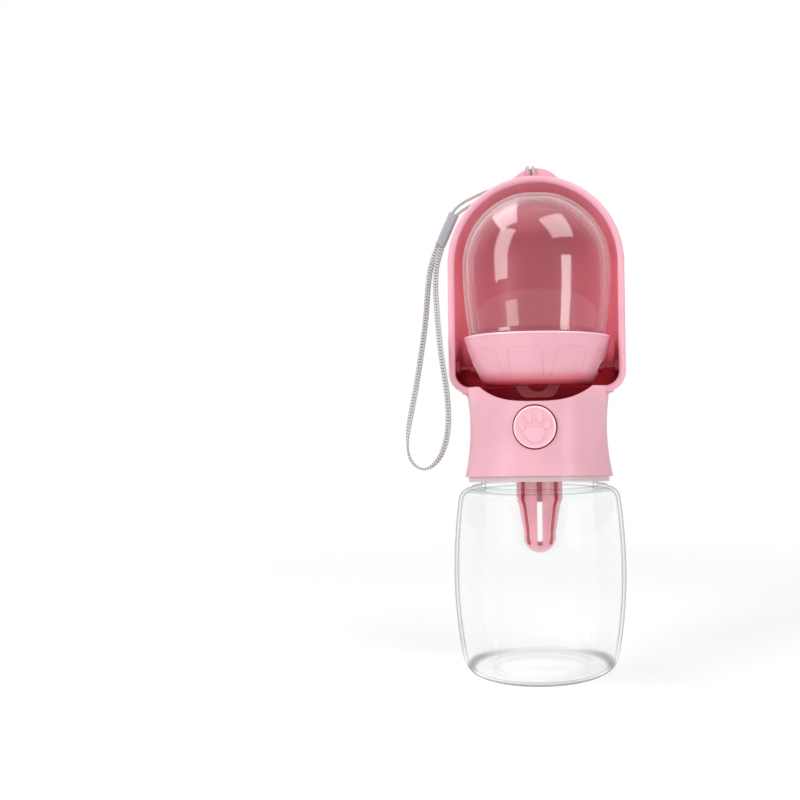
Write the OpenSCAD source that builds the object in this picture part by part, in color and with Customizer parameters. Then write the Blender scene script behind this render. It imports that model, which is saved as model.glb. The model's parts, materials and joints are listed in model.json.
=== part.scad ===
// Dog travel water bottle: a clear barrel bottle under a screw-on head. The head's hood shelters a
// drinking cup, a moulded trough under a clear dome, which tips forward on two side pins. A push
// button in the neck lifts a sprung valve, and water passes a filter, the valve and a nozzle.
// Millimetres. The origin is the middle of the standing ring, +Z is up and the button faces -Y.

/* [Bottle] */
// Radius of the barrel at its widest
belly_r = 37; // [34:0.5:40]
// Height of the widest level
belly_z = 42; // [36:0.5:48]
// Radius of the barrel's side above its widest, seen as an arc
belly_arc = 234; // [180:1:400]
// Radius of the barrel's side below its widest, seen as an arc
belly_low_arc = 190; // [150:1:400]
// Height of the shoulder
shoulder_z = 78.3; // [74:0.1:80]
// Rounding under the barrel
base_round = 7.5; // [4:0.5:12]
// Rounding of the shoulder
shoulder_round = 5.5; // [2:0.5:6]
// Thickness of the bottle's wall
bottle_wall = 1.3; // [1:0.1:2]
// Radius at which the base lifts off the table
push_up_r = 21.5; // [16:0.5:24]
// Height of the base's hollow at its middle
push_up_h = 2.5; // [1:0.1:4]
// Outer radius of the bottle's neck
mouth_r = 25.2; // [24:0.1:26]
// Height of the bottle's rim
mouth_z = 90.4; // [90:0.1:91]
// How far the thread stands out from the neck
thread_depth = 1.2; // [0.8:0.1:1.3]
// Rise of the thread in one turn
thread_pitch = 4; // [3:0.5:5]
// Turns of thread on the neck
thread_turns = 1.5; // [1:0.25:2]

/* [Head] */
// Radius of the head's neck at its waist
waist_r = 29.5; // [29:0.1:31]
// Height of the waist
waist_z = 104; // [102:0.5:106]
// Radius of the waist's hollow, seen as an arc
waist_arc = 95; // [80:1:140]
// Height of the head's lower edge at the sides
skirt_z = 82.5; // [81.5:0.1:84]
// How far the lower edge rises towards the front
skirt_rise = 2.3; // [0:0.1:3]
// Outer radius of the hood
hood_r = 37.6; // [37:0.1:40]
// Height of the middle of the hood's round top
hood_z = 173.5; // [165:0.1:180]
// Distance of the hood's axis in front of the bottle's
hood_forward = 5; // [3:0.5:6]
// Distance of the hood's rim in front of the bottle's axis
rim_forward = 9.7; // [8:0.1:12]
// Thickness of the hood
hood_wall = 2.6; // [2:0.1:3]
// Height of the underside of the hood's floor
hood_floor_z = 118.5; // [117:0.1:120]
// Rounding of the hood's lower corners
hood_corner = 9; // [6:0.5:10]
// Height of the lip at the middle of the front
lip_z = 114.8; // [114.6:0.1:116]
// Half the width of the dip in the lip
lip_half_w = 23.5; // [20:0.5:25]

/* [Cup] */
// Radius of the clear dome
dome_r = 32.1; // [30:0.1:33]
// Height of the dome's flat top
dome_top_z = 203; // [202:0.1:204]
// Thickness of the dome
dome_wall = 1.6; // [1.2:0.1:2]
// Width of the brim round the dome's open back
brim_w = 4; // [2:0.1:5]
// Radius of the trough's rim
trough_r = 31.8; // [30:0.1:32]
// Height of the trough's rim
trough_rim_z = 142.8; // [141:0.1:144]
// Height of the trough's lower edge
trough_foot_z = 121.8; // [121.5:0.1:123]
// Thickness of the trough
trough_wall = 1.8; // [1.4:0.1:2.2]
// Distance of the cup's open back behind the bottle's axis
cup_back = 3; // [2:0.5:6]
// Distance of the cup's hinge in front of the bottle's axis
hinge_forward = 5; // [4:0.5:6]
// Height of the cup's hinge
hinge_z = 129.8; // [129:0.1:131]
// Radius of the hinge pins
hinge_pin_r = 1.2; // [1:0.1:1.6]

/* [Button and valve] */
// Radius of the push button
button_r = 8.6; // [7:0.1:8.8]
// Height of the button's middle
button_z = 104.4; // [104:0.1:105]
// Travel of the button
button_travel = 2.4; // [1.5:0.1:2.5]
// Lift of the valve over the button's travel
valve_lift = 1.6; // [1:0.1:1.8]
// Radius of the valve's rod
rod_r = 1.5; // [1.2:0.1:1.8]
// Radius of the port that the valve closes
port_r = 4.5; // [3:0.1:5]
// Radius of the outlet nozzle's bore
nozzle_bore_r = 2.6; // [2:0.1:3]

/* [Filter] */
// Radius of the filter cage's sleeve
cage_r = 10; // [9.9:0.1:10.4]
// Radius of the cage's round tip
cage_tip_r = 7; // [6.2:0.1:7.4]
// Height of the cage's tip
cage_tip_z = 49.8; // [46:0.1:54]
// Slots round the cage
cage_slots = 8; // [6:1:10]
// Turn of the slots about the bottle's axis
slot_turn = 3; // [0:0.5:20]

/* [Lanyard] */
// Diameter of the thin cord
cord_d = 1.2; // [1:0.1:1.3]
// Width of the wrist strap
strap_w = 2.4; // [2:0.1:2.8]
// Length of the sleeve that joins them
sleeve_l = 14.8; // [12:0.1:16]
// Width of the sleeve
sleeve_w = 4.2; // [3.8:0.1:5]

/* [Hidden] */
$fn = 96;
eps = 0.01;
// Clearances: a pin pressed in, a fit that turns or slides, and parts side by side in one body
press = 0.01;
fit = 0.05;
gap = 0.1;
// Clearance between pieces that pass each other
clear = 0.3;
// Longer than any cut needs
far = 200;

// Bottle neck, threaded sleeve and the seals between them
neck_wall = 1.6;
mouth_bore = mouth_r - neck_wall;
ledge_r = mouth_r + 4;
ledge_h = 0.8;
base_wall = 2;
thread_z = 82.7;
thread_half_h = 0.9;
gasket_h = 1.8;
gasket_lap = 0.8;
gasket_z = mouth_z + gasket_h;
thread_room = 1.1;
sleeve_neck_r = mouth_r + thread_depth + clear;
sleeve_inner_r = sleeve_neck_r + thread_room;
sleeve_outer_r = sleeve_inner_r + 1;
sleeve_top_z = mouth_z - 1.8;
collar_r = sleeve_outer_r + 1.6;
collar_drop = 2.2;
lug_z = 84.2;
lug_h = 1.4;

// Neck of the head
seat_bore = sleeve_neck_r + 0.8;
neck_bore = seat_bore - 0.6;
skirt_bore = sleeve_outer_r + gap;
neck_top_z = 122;
neck_blend_r = 2.6;
blend_forward = 3;
blend_x = waist_r + 0.35;

// Hood
hood_inner_r = hood_r - hood_wall;
rim_round = hood_wall / 2 + 0.2;
rim_mid_r = hood_r - 1.45;
rim_y = -rim_forward + rim_round;
bead_end_x = 26.2;
corner_z = hood_floor_z + hood_corner;
corner_x = hood_r - hood_corner;
shelf_z = hood_floor_z + hood_wall;
lip_dip = shelf_z - lip_z;
lip_steps = 16;
hinge_boss_r = 2.8;
hinge_boss_x = hood_inner_r - 1.8;
pin_inner_x = 23.4;
pin_outer_x = hood_r - 1.2;

// Loop on the hood for the lanyard
loop_z = 203.8;
loop_outer_r = 12.8;
loop_inner_r = 9.6;
loop_y = 2;
loop_depth = 3.6;

// Bulkhead with its plug, and the valve chamber on it
bulkhead_h = 2;
bulkhead_top = gasket_z + bulkhead_h;
plug_r = mouth_bore - 0.7;
plug_wall = 2;
plug_low_z = 86;
oring_r = 0.7;
plug_oring_z = 87.8;
spigot_r = 8;
spigot_wall = 1.6;
spigot_low_z = 84.5;
filter_oring_r = 0.6;
filter_oring_z = 86.4;
chamber_r = 9;
chamber_wall = 1.5;
chamber_top = 102.6;
chamber_lid_h = 1.2;
nozzle_y = 11;
nozzle_r = 4;
nozzle_boss_r = 5.6;
nozzle_top_z = 111.2;
screw_x = 11.5;
screw_y = 3;
screw_r = 1.1;
screw_head_r = 2;
ear_r = 3;
ear_h = 2;
screw_head_h = 1.4;

// Deck over the mechanism
deck_top = 110.2;
deck_h = 1.7;
deck_r = neck_bore - gap;
deck_leg_x = 22;
deck_leg_r = 1.8;

// Valve, with the pin that the button's fork lifts
seal_h = 1;
seal_r = 6.4;
peg_r = 1;
peg_l = 1.4;
flange_h = 1;
flange_r = 6;
pin_r = 1;
pin_half_l = 4.6;
pin_z = 105.3;
rod_top_z = pin_z + 1.3;
stem_oring_r = 0.4;
rod_groove_r = rod_r + 2 * stem_oring_r + 2 * fit;
ramp_angle = atan(valve_lift / button_travel);
ramp_gap = 0.1;
fork_inner_x = 2.1;
fork_outer_x = 4.9;
fork_low_z = 103;
fork_high_z = 106.6;
fork_slot_y = -6;

// Button
button_face_y = -30.3;
cap_depth = 3.8;
cap_back_y = button_face_y + cap_depth;
button_gap = 0.3;
button_edge = 0.8;
cap_skin = 1.2;
guide_r = 9.5;
guide_front_y = -25;
guide_back_y = -22.3;
guide_plate = 1.1;
guide_top_z = 113.4;
guide_foot_half_w = 6;
guide_foot_h = 3;

// Filter cage
cage_wall = 1.7;
cage_bore = cage_r - cage_wall;
cage_taper_z = 73;
cage_tip_mid = cage_tip_z + cage_tip_r;
cartridge_r = cage_bore - clear;
cartridge_low_z = cage_taper_z - 0.6;
cartridge_top_z = spigot_low_z - 0.5;
slot_half_w = 1.1;
slot_low_z = 54.6;
slot_high_z = 81;

// Drinking cup
trough_side_arc = 70;
trough_corner = 4.4;
trough_corner_r = 20.6;
trough_turn = [24.6, 124.3];
trough_lip = [trough_r - 0.2, trough_rim_z - 1];
trough_round = 0.7;
trough_floor_z = 128;
trough_hollow_r = 19.5;
dome_seat_z = trough_rim_z - 3.8;
dome_skirt_r = trough_r - 2.9;
dome_foot_r = trough_r - 2;
dome_foot_z = trough_rim_z + 0.7;
dome_foot_h = 1.6;
brim_t = 1.8;
dome_side_arc = 165;
ear_boss_r = 2.8;
tab_half_w = 10.8;
tab_foot_z = 116.7;
tab_corner = 4;
tab_slope = 30;
tab_front = 4.4;
tab_t = 2.4;
tab_hole_r = 5.1;
tab_hole_z = 124.2;
tab_turn_z = trough_foot_z + 2;
tab_corner_z = tab_foot_z + tab_corner;
tab_corner_x = tab_half_w - (tab_corner + (tab_turn_z - tab_corner_z) * sin(tab_slope)) / cos(tab_slope);

// Springs
spring_sides = 8;
spring_rings = 14;
valve_coil_r = 4;
valve_wire_r = 0.4;
button_coil_r = 6.4;
button_wire_r = 0.45;

// Lanyard: the sleeve's two ends, then the routes of the cord and of the strap
sleeve_top = [-35.4, -3, 196.7];
sleeve_slant = 24.4;
sleeve_t = 3;
sleeve_round = 1;
cord_route = [
    [-36.3, -3.0, 196.9], [-34.4, -2.4, 199.6], [-31.2, -1.4, 202.2], [-27.6, 0.0, 204.4],
    [-23.8, 1.6, 206.6], [-19.8, 3.2, 208.6], [-15.6, 4.6, 210.4], [-11.4, 5.8, 212.0],
    [-7.6, 6.4, 213.6], [-5.2, 5.6, 215.6], [-4.0, 3.8, 217.2], [-3.6, 1.6, 217.5],
    [-3.3, -0.4, 216.6], [-3.0, -1.0, 214.0], [-2.7, 0.0, 212.0], [-2.4, 2.2, 211.7],
    [-2.1, 4.4, 212.4], [-1.8, 5.2, 214.4], [-1.5, 4.2, 216.7], [-1.2, 2.0, 217.5],
    [-0.9, -0.4, 216.6], [-0.6, -1.0, 214.2], [-0.5, -0.2, 212.2], [-0.6, 2.0, 211.7],
    [-1.2, 4.6, 211.6], [-3.0, 7.0, 211.4], [-6.2, 8.4, 210.8], [-10.2, 8.6, 209.8],
    [-14.4, 7.6, 208.6], [-18.4, 6.0, 207.2], [-22.2, 4.2, 205.4], [-25.8, 2.4, 203.2],
    [-29.2, 0.6, 200.8], [-32.2, -1.4, 198.4], [-34.7, -3.0, 195.9]
];
strap_route = [
    [-42.2, -3.0, 184.0], [-44.2, -3.0, 178.8], [-46.0, -3.0, 172.8], [-47.0, -3.0, 166.0],
    [-47.6, -3.0, 159.0], [-48.2, -3.0, 152.0], [-49.0, -3.2, 145.0], [-50.0, -3.6, 138.0],
    [-51.0, -4.2, 131.0], [-52.0, -5.0, 124.0], [-53.2, -6.0, 117.0], [-54.4, -7.0, 110.0],
    [-55.4, -8.0, 103.4], [-55.6, -9.0, 97.0], [-54.4, -10.0, 91.4], [-51.2, -10.8, 87.8],
    [-47.2, -11.4, 87.0], [-43.4, -12.0, 89.2], [-40.4, -12.6, 93.4], [-38.4, -13.2, 98.8],
    [-37.4, -13.6, 105.0], [-37.2, -13.8, 111.4], [-37.6, -13.9, 117.8], [-38.4, -13.8, 124.2],
    [-39.4, -13.4, 130.6], [-40.4, -12.6, 137.0], [-41.2, -11.2, 143.2], [-42.0, -9.6, 149.4],
    [-42.6, -8.0, 155.8], [-43.2, -6.4, 162.2], [-43.4, -5.0, 168.4], [-43.0, -4.0, 174.2],
    [-41.8, -3.4, 179.2], [-40.6, -3.0, 183.4]
];

// ---- functions ----

function unit(v) = v / norm(v);

// Middle of the circle of radius r through points a and b, on the left of the way from a to b
function arc_middle(a, b, r) =
    let (way = b - a, side = [-way.y, way.x] / norm(way))
    (a + b) / 2 + side * sqrt(r * r - way * way / 4);

function route_way(route, i) =
    unit(route[min(i + 1, len(route) - 1)] - route[max(i - 1, 0)]);

// A direction square to the way, as near as it gets to the one before
function carried(side, way) = unit(side - (side * way) * way);

function route_sides(route, first) = [
    for (
        i = 0, side = carried(first, route_way(route, 0));
        i < len(route);
        i = i + 1, side = carried(side, route_way(route, min(i, len(route) - 1)))
    ) side
];

// ---- shared shapes ----

// A ring standing on z, from its inner to its outer radius
module ring(inner, outer, z, h) {
    translate([0, 0, z]) difference() {
        cylinder(r = outer, h = h);
        translate([0, 0, -1]) cylinder(r = inner, h = h + 2);
    }
}

// A ring of round section, with its section's middle at radius r
module oring(r, z, section) {
    translate([0, 0, z]) rotate_extrude() translate([r, 0]) circle(r = section, $fn = 32);
}

// A cylinder along X from one x to another
module rod_x(x0, x1, y, z, r) {
    translate([x0, y, z]) rotate([0, 90, 0]) cylinder(r = r, h = x1 - x0);
}

// A cylinder along Y from one y to another, on the button's axis
module rod_y(y0, y1, r) {
    translate([0, y0, button_z]) rotate([-90, 0, 0]) cylinder(r = r, h = y1 - y0);
}

// A closed mesh through rings of points, each with the same number of sides
module skin(rings, sides) {
    last = len(rings) - 1;
    polyhedron(
        points = [for (one = rings) each one],
        faces = [
            [for (k = [0:sides - 1]) k],
            for (i = [0:last - 1], k = [0:sides - 1]) each [
                [i * sides + k, (i + 1) * sides + k, i * sides + (k + 1) % sides],
                [i * sides + (k + 1) % sides, (i + 1) * sides + k, (i + 1) * sides + (k + 1) % sides]
            ],
            [for (k = [sides - 1:-1:0]) last * sides + k]
        ]
    );
}

// A round tube along a route, with one ring at each of its points
module tube(route, r, sides) {
    across = route_sides(route, [0, 1, 0]);
    skin([
        for (i = [0:len(route) - 1])
            let (over = cross(route_way(route, i), across[i]))
            [for (k = [0:sides - 1])
                route[i] + r * (cos(360 * k / sides) * across[i] + sin(360 * k / sides) * over)]
    ], sides);
}

// A coil spring standing on z = 0
module coil_spring(coil_r, wire_r, turns, h) {
    steps = turns * spring_rings;
    rise = (h - 2 * wire_r) / steps;
    skin([
        for (i = [0:steps])
            let (turn = 360 * i / spring_rings)
            [for (k = [0:spring_sides - 1])
                let (side = 360 * k / spring_sides, reach = coil_r + wire_r * cos(side))
                [reach * cos(turn), reach * sin(turn), wire_r + i * rise - wire_r * sin(side)]]
    ], spring_sides);
}

// ---- bottle ----

// Half the bottle's outline, moved in by the inset
module barrel_outline(inset) {
    middle = belly_r - belly_arc;
    low_middle = belly_r - belly_low_arc;
    low_x = low_middle + sqrt(pow(belly_low_arc - base_round, 2) - pow(belly_z - base_round, 2));
    high_z = shoulder_z - shoulder_round;
    high_x = middle + sqrt(pow(belly_arc - shoulder_round, 2) - pow(high_z - belly_z, 2));
    // Heights at which the two corner arcs run into the side's arcs
    low_turn = base_round - base_round * (belly_z - base_round) / (belly_low_arc - base_round);
    high_turn = high_z + shoulder_round * (high_z - belly_z) / (belly_arc - shoulder_round);
    intersection() {
        union() {
            intersection() {
                translate([middle, belly_z]) circle(r = belly_arc - inset, $fn = 360);
                translate([0, belly_z]) square([far, far]);
            }
            intersection() {
                translate([low_middle, belly_z]) circle(r = belly_low_arc - inset, $fn = 360);
                square([far, belly_z]);
            }
        }
        union() {
            translate([low_x, base_round]) circle(r = base_round - inset);
            translate([high_x, high_z]) circle(r = shoulder_round - inset);
            translate([0, low_turn]) square([belly_r, high_turn - low_turn]);
            translate([0, inset]) square([low_x, base_round]);
            translate([0, high_z - shoulder_round]) square([high_x, 2 * shoulder_round - inset]);
        }
        square([far, far]);
    }
}

module push_up_arc(extra) {
    r = (push_up_r * push_up_r + push_up_h * push_up_h) / (2 * push_up_h);
    translate([0, push_up_h - r]) circle(r = r + extra, $fn = 180);
}

// The helical bead of the screw thread, let into the neck a little
module screw_thread() {
    steps_a_turn = 24;
    root = mouth_r - 0.5;
    crest = mouth_r + thread_depth;
    skin([
        for (i = [0:thread_turns * steps_a_turn])
            let (
                turn = 360 * i / steps_a_turn,
                z = thread_z + thread_pitch * i / steps_a_turn,
                edge = thread_half_h / 2.5
            )
            [for (corner = [[root, -thread_half_h], [root, thread_half_h], [crest, edge], [crest, -edge]])
                [corner[0] * cos(turn), corner[0] * sin(turn), z + corner[1]]]
    ], 4);
}

module bottle_body() {
    color("aliceblue", 0.4) {
        rotate_extrude() difference() {
            union() {
                barrel_outline(0);
                translate([0, shoulder_z - 2]) square([mouth_r, mouth_z - shoulder_z + 2]);
                translate([0, shoulder_z - 1]) square([ledge_r, ledge_h + 1]);
            }
            difference() {
                barrel_outline(bottle_wall);
                push_up_arc(base_wall);
            }
            translate([0, shoulder_z - 3]) square([mouth_bore, mouth_z]);
            push_up_arc(0);
            translate([-far, -far / 2]) square([far, 2 * far]);
        }
        screw_thread();
    }
}

module neck_gasket() {
    color("whitesmoke") ring(mouth_bore + clear, mouth_r + gasket_lap, mouth_z, gasket_h);
}

module plug_oring() {
    color("dimgray") oring(mouth_bore - fit - oring_r, plug_oring_z, oring_r);
}

// ---- head ----

// Half the hood's outline, moved in by the inset
module hood_outline(inset) {
    intersection() {
        union() {
            translate([0, hood_z]) circle(r = hood_r - inset);
            translate([0, corner_z]) square([hood_r - inset, hood_z - corner_z]);
            translate([corner_x, corner_z]) circle(r = hood_corner - inset);
            translate([0, hood_floor_z + inset]) square([corner_x, hood_corner]);
        }
        square([far, far + hood_z]);
    }
}

module hood_solid(inset) {
    translate([0, -hood_forward, 0]) rotate_extrude() hood_outline(inset);
}

// The round edge of the hood's rim: an arch, two straight sides and two lower corners
module rim_bead() {
    translate([0, rim_y, hood_z]) rotate([90, 0, 0])
        rotate_extrude(angle = 180) translate([rim_mid_r, 0]) circle(r = rim_round, $fn = 32);
    for (side = [-1, 1]) {
        translate([side * rim_mid_r, rim_y, corner_z])
            cylinder(r = rim_round, h = hood_z - corner_z, $fn = 32);
        translate([side * corner_x, rim_y, corner_z]) rotate([90, 0, 0]) rotate([0, 0, side > 0 ? 270 : 180])
            rotate_extrude(angle = 90) translate([rim_mid_r - corner_x, 0]) circle(r = rim_round, $fn = 32);
    }
    for (x = [-corner_x, bead_end_x])
        rod_x(x, x + corner_x - bead_end_x, rim_y, hood_floor_z + rim_round, rim_round);
}

// The dip that the lip's front edge follows: it falls as the cube of the way in from its ends
module lip_cut() {
    translate([0, rim_y, 0]) rotate([90, 0, 0]) linear_extrude(far / 2) {
        polygon([
            [-lip_half_w, shelf_z + 1],
            for (i = [-lip_steps:lip_steps])
                [lip_half_w * i / lip_steps, lip_z + lip_dip * pow(abs(i / lip_steps), 3)],
            [lip_half_w, shelf_z + 1]
        ]);
        translate([-far / 2, shelf_z]) square([far, hood_z]);
    }
}

// The space under a lower edge that rises towards the front
module edge_cut(z, r) {
    slope = atan(skirt_rise / r);
    translate([-far / 2, 0, z]) rotate([-slope, 0, 0]) translate([0, -far / 2, -far / 2])
        cube([far, far / 2, far / 2]);
    translate([-far / 2, -1, z - far / 2]) cube([far, far / 2, far / 2]);
}

module neck_solid() {
    rotate_extrude() difference() {
        translate([0, skirt_z - 3]) square([33, neck_top_z - skirt_z + 3]);
        translate([waist_r + waist_arc, waist_z]) circle(r = waist_arc, $fn = 240);
    }
}

// The hollow blend between the neck and the hood's corners, which runs out into the neck behind
module neck_blend() {
    reach = blend_x + neck_blend_r;
    intersection() {
        translate([0, -blend_forward, hood_floor_z - neck_blend_r]) rotate_extrude() difference() {
            translate([blend_x - 1, 0]) square([neck_blend_r + 1, neck_blend_r + 1.5]);
            translate([reach, 0]) circle(r = neck_blend_r);
        }
        translate([-far / 2, rim_y, 0]) cube([far, far, far]);
    }
}

module lanyard_loop() {
    translate([0, loop_y + loop_depth / 2, loop_z]) rotate([90, 0, 0]) difference() {
        cylinder(r = loop_outer_r, h = loop_depth);
        translate([0, 0, -1]) cylinder(r = loop_inner_r, h = loop_depth + 2);
        translate([-far / 2, -far]) cube([far, far, far]);
    }
}

module head_shell() {
    color("pink") {
        difference() {
            union() {
                difference() {
                    hood_solid(0);
                    translate([-far / 2, rim_y - far, 0]) cube([far, far, 2 * far]);
                }
                neck_solid();
                neck_blend();
                lanyard_loop();
            }
            difference() {
                hood_solid(hood_wall);
                rod_x(hinge_boss_x, far, -hinge_forward, hinge_z, hinge_boss_r);
                rod_x(-far, -hinge_boss_x, -hinge_forward, hinge_z, hinge_boss_r);
            }
            lip_cut();
            translate([0, 0, bulkhead_top]) cylinder(r = neck_bore, h = hood_z - bulkhead_top);
            translate([0, 0, sleeve_top_z]) cylinder(r = seat_bore, h = bulkhead_top - sleeve_top_z);
            translate([0, 0, skirt_z - 4])
                cylinder(r = skirt_bore, h = sleeve_top_z + gap - skirt_z + 4);
            edge_cut(skirt_z, waist_r + 2);
            rod_y(-far, -neck_bore + 8, button_r + button_gap);
            rod_x(-pin_outer_x, pin_outer_x, -hinge_forward, hinge_z, hinge_pin_r + press);
        }
        rim_bead();
    }
}

// The screw sleeve, whose pale collar shows under the head
module thread_sleeve() {
    color("mistyrose") difference() {
        union() {
            translate([0, 0, skirt_z - collar_drop])
                cylinder(r = sleeve_outer_r, h = sleeve_top_z - skirt_z + collar_drop);
            translate([0, 0, sleeve_top_z - 1])
                cylinder(r = seat_bore - gap, h = gasket_z - sleeve_top_z + 1);
            intersection() {
                translate([0, 0, skirt_z - collar_drop])
                    cylinder(r = collar_r, h = 2 * collar_drop + skirt_rise);
                edge_cut(skirt_z - gap, waist_r + 2);
            }
        }
        difference() {
            translate([0, 0, skirt_z - collar_drop - 1])
                cylinder(r = sleeve_inner_r, h = sleeve_top_z - skirt_z + collar_drop + 0.4);
            thread_lugs();
        }
        translate([0, 0, skirt_z]) cylinder(r = sleeve_neck_r, h = far / 10);
        edge_cut(skirt_z - collar_drop, waist_r + 2);
    }
}

// Four lugs that run under the bottle's thread
module thread_lugs() {
    for (turn = [0:90:270])
        rotate([0, 0, turn]) rotate_extrude(angle = 40)
            translate([sleeve_neck_r, lug_z]) square([thread_room + 0.6, lug_h]);
}

module bulkhead() {
    color("lavenderblush") difference() {
        union() {
            translate([0, 0, gasket_z]) cylinder(r = seat_bore - gap, h = bulkhead_h);
            ring(plug_r - plug_wall, plug_r, plug_low_z, gasket_z - plug_low_z);
            ring(spigot_r - spigot_wall, spigot_r, spigot_low_z, gasket_z - spigot_low_z);
        }
        translate([0, 0, gasket_z - 1]) cylinder(r = port_r, h = bulkhead_h + 2);
        ring(plug_r - 0.8, plug_r + 1, plug_oring_z - oring_r - gap, 2 * (oring_r + gap));
        ring(spigot_r - 1, spigot_r + 1, filter_oring_z - filter_oring_r - gap, 2 * (filter_oring_r + gap));
        for (side = [-1, 1])
            translate([side * screw_x, screw_y, gasket_z + 0.4])
                cylinder(r = screw_r + fit, h = bulkhead_h);
    }
}

// The chamber's plan, moved in by the inset
module chamber_plan(inset, z, h) {
    translate([0, 0, z]) cylinder(r = chamber_r - inset, h = h);
    translate([0, nozzle_y, z]) cylinder(r = nozzle_boss_r - inset, h = h);
}

module valve_chamber() {
    color("lavenderblush") difference() {
        union() {
            chamber_plan(0, bulkhead_top, chamber_top - bulkhead_top);
            for (side = [-1, 1]) {
                translate([side * screw_x, screw_y, bulkhead_top]) cylinder(r = ear_r, h = ear_h);
            }
        }
        chamber_plan(chamber_wall, bulkhead_top - 1, chamber_top - chamber_lid_h - bulkhead_top + 1);
        translate([0, 0, bulkhead_top]) cylinder(r = rod_r + fit, h = far / 10);
        translate([0, 0, bulkhead_top])
            cylinder(r = rod_groove_r, h = chamber_top - 0.3 - bulkhead_top);
        translate([0, nozzle_y, bulkhead_top]) cylinder(r = nozzle_r + gap, h = far / 10);
        for (side = [-1, 1])
            translate([side * screw_x, screw_y, bulkhead_top - 1])
                cylinder(r = screw_r + gap, h = far / 10);
    }
}

module chamber_screws() {
    color("silver") for (side = [-1, 1]) {
        translate([side * screw_x, screw_y, 0]) difference() {
            union() {
                translate([0, 0, gasket_z + 0.5])
                    cylinder(r = screw_r, h = bulkhead_top + ear_h - gasket_z);
                translate([0, 0, bulkhead_top + ear_h]) cylinder(r = screw_head_r, h = screw_head_h);
            }
            for (turn = [0, 90])
                rotate([0, 0, turn])
                    translate([-screw_head_r * 0.7, -0.25, bulkhead_top + ear_h + screw_head_h - 0.7])
                    cube([screw_head_r * 1.4, 0.5, 2]);
        }
    }
}

module valve_deck() {
    color("pink") difference() {
        union() {
            translate([0, 0, deck_top - deck_h]) cylinder(r = deck_r, h = deck_h);
            for (turn = [20, 90, 160])
                rotate([0, 0, turn]) translate([deck_leg_x, 0, bulkhead_top])
                    cylinder(r = deck_leg_r, h = deck_top - bulkhead_top - 1);
        }
        rod_y(-far, guide_back_y + gap, guide_r + gap);
        translate([0, nozzle_y, bulkhead_top]) cylinder(r = nozzle_r + gap, h = far / 10);
    }
}

module outlet_nozzle() {
    color("hotpink") translate([0, nozzle_y, 0]) difference() {
        union() {
            translate([0, 0, chamber_top - chamber_lid_h])
                cylinder(r = nozzle_r, h = nozzle_top_z - chamber_top + chamber_lid_h - 0.6);
            translate([0, 0, nozzle_top_z - 0.6]) cylinder(r1 = nozzle_r, r2 = nozzle_r - 0.6, h = 0.6);
            translate([0, 0, chamber_top]) cylinder(r = nozzle_boss_r - 0.4, h = 1);
        }
        translate([0, 0, bulkhead_top]) cylinder(r = nozzle_bore_r, h = far / 10);
    }
}

module valve_seal() {
    color("whitesmoke") ring(peg_r + press, seal_r, bulkhead_top, seal_h);
}

module valve_stem() {
    flange_z = bulkhead_top + seal_h;
    color("white") difference() {
        union() {
            translate([0, 0, bulkhead_top - peg_l]) cylinder(r = peg_r, h = peg_l + seal_h);
            translate([0, 0, flange_z]) cylinder(r = flange_r, h = flange_h);
            translate([0, 0, flange_z]) cylinder(r = rod_r, h = rod_top_z - flange_z);
        }
        rod_x(-pin_half_l, pin_half_l, 0, pin_z, pin_r + press);
    }
}

module lift_pin() {
    color("silver") rod_x(-pin_half_l, pin_half_l, 0, pin_z, pin_r);
}

module valve_spring() {
    flange_top = bulkhead_top + seal_h + flange_h;
    color("silver") translate([0, 0, flange_top])
        coil_spring(valve_coil_r, valve_wire_r, 4, chamber_top - chamber_lid_h - flange_top);
}

module stem_oring() {
    color("dimgray") oring(rod_r + fit + stem_oring_r, chamber_top - 0.3 - stem_oring_r - fit, stem_oring_r);
}

// ---- button ----

// The fork's side view: a bar whose upper side slopes down under the valve's pin
module fork_side() {
    ramp_foot = pin_z - (pin_r + ramp_gap) / cos(ramp_angle);
    slope = valve_lift / button_travel;
    tip_z = fork_low_z + 0.3;
    polygon([
        [cap_back_y - 1, fork_low_z],
        [(ramp_foot - tip_z) / slope, fork_low_z],
        [(ramp_foot - tip_z) / slope, tip_z],
        [(ramp_foot - fork_high_z) / slope, fork_high_z],
        [cap_back_y - 1, fork_high_z]
    ]);
}

module push_button() {
    color("pink") {
        difference() {
            translate([0, button_face_y, button_z]) rotate([-90, 0, 0]) rotate_extrude() {
                translate([0, button_edge]) square([button_r, cap_depth - button_edge]);
                square([button_r - button_edge, cap_depth]);
                intersection() {
                    translate([button_r - button_edge, button_edge]) circle(r = button_edge, $fn = 32);
                    square([button_r, cap_depth]);
                }
            }
            rod_y(button_face_y + cap_skin, cap_back_y + 1, button_r - cap_skin);
        }
        difference() {
            rotate([90, 0, 90]) translate([0, 0, -fork_outer_x]) linear_extrude(2 * fork_outer_x) fork_side();
            translate([-fork_inner_x, fork_slot_y, fork_low_z - 1]) cube([2 * fork_inner_x, 20, 10]);
        }
        translate([-fork_outer_x, button_face_y + cap_skin - 0.2, fork_low_z])
            cube([2 * fork_outer_x, cap_depth - cap_skin, fork_high_z - fork_low_z]);
    }
}

module button_guide() {
    color("lavenderblush") difference() {
        intersection() {
            union() {
                rod_y(guide_front_y, guide_back_y, guide_r);
                translate([-guide_foot_half_w, guide_front_y, bulkhead_top])
                    cube([2 * guide_foot_half_w, guide_back_y - guide_front_y, guide_foot_h]);
            }
            translate([-far / 2, -far / 2, 0]) cube([far, far, guide_top_z]);
        }
        rod_y(guide_front_y - 1, guide_back_y - guide_plate, button_r + button_gap / 2);
        translate([-fork_outer_x - button_gap, -far / 2, fork_low_z - button_gap])
            cube([2 * (fork_outer_x + button_gap), far, fork_high_z - fork_low_z + 2 * button_gap]);
    }
}

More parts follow.
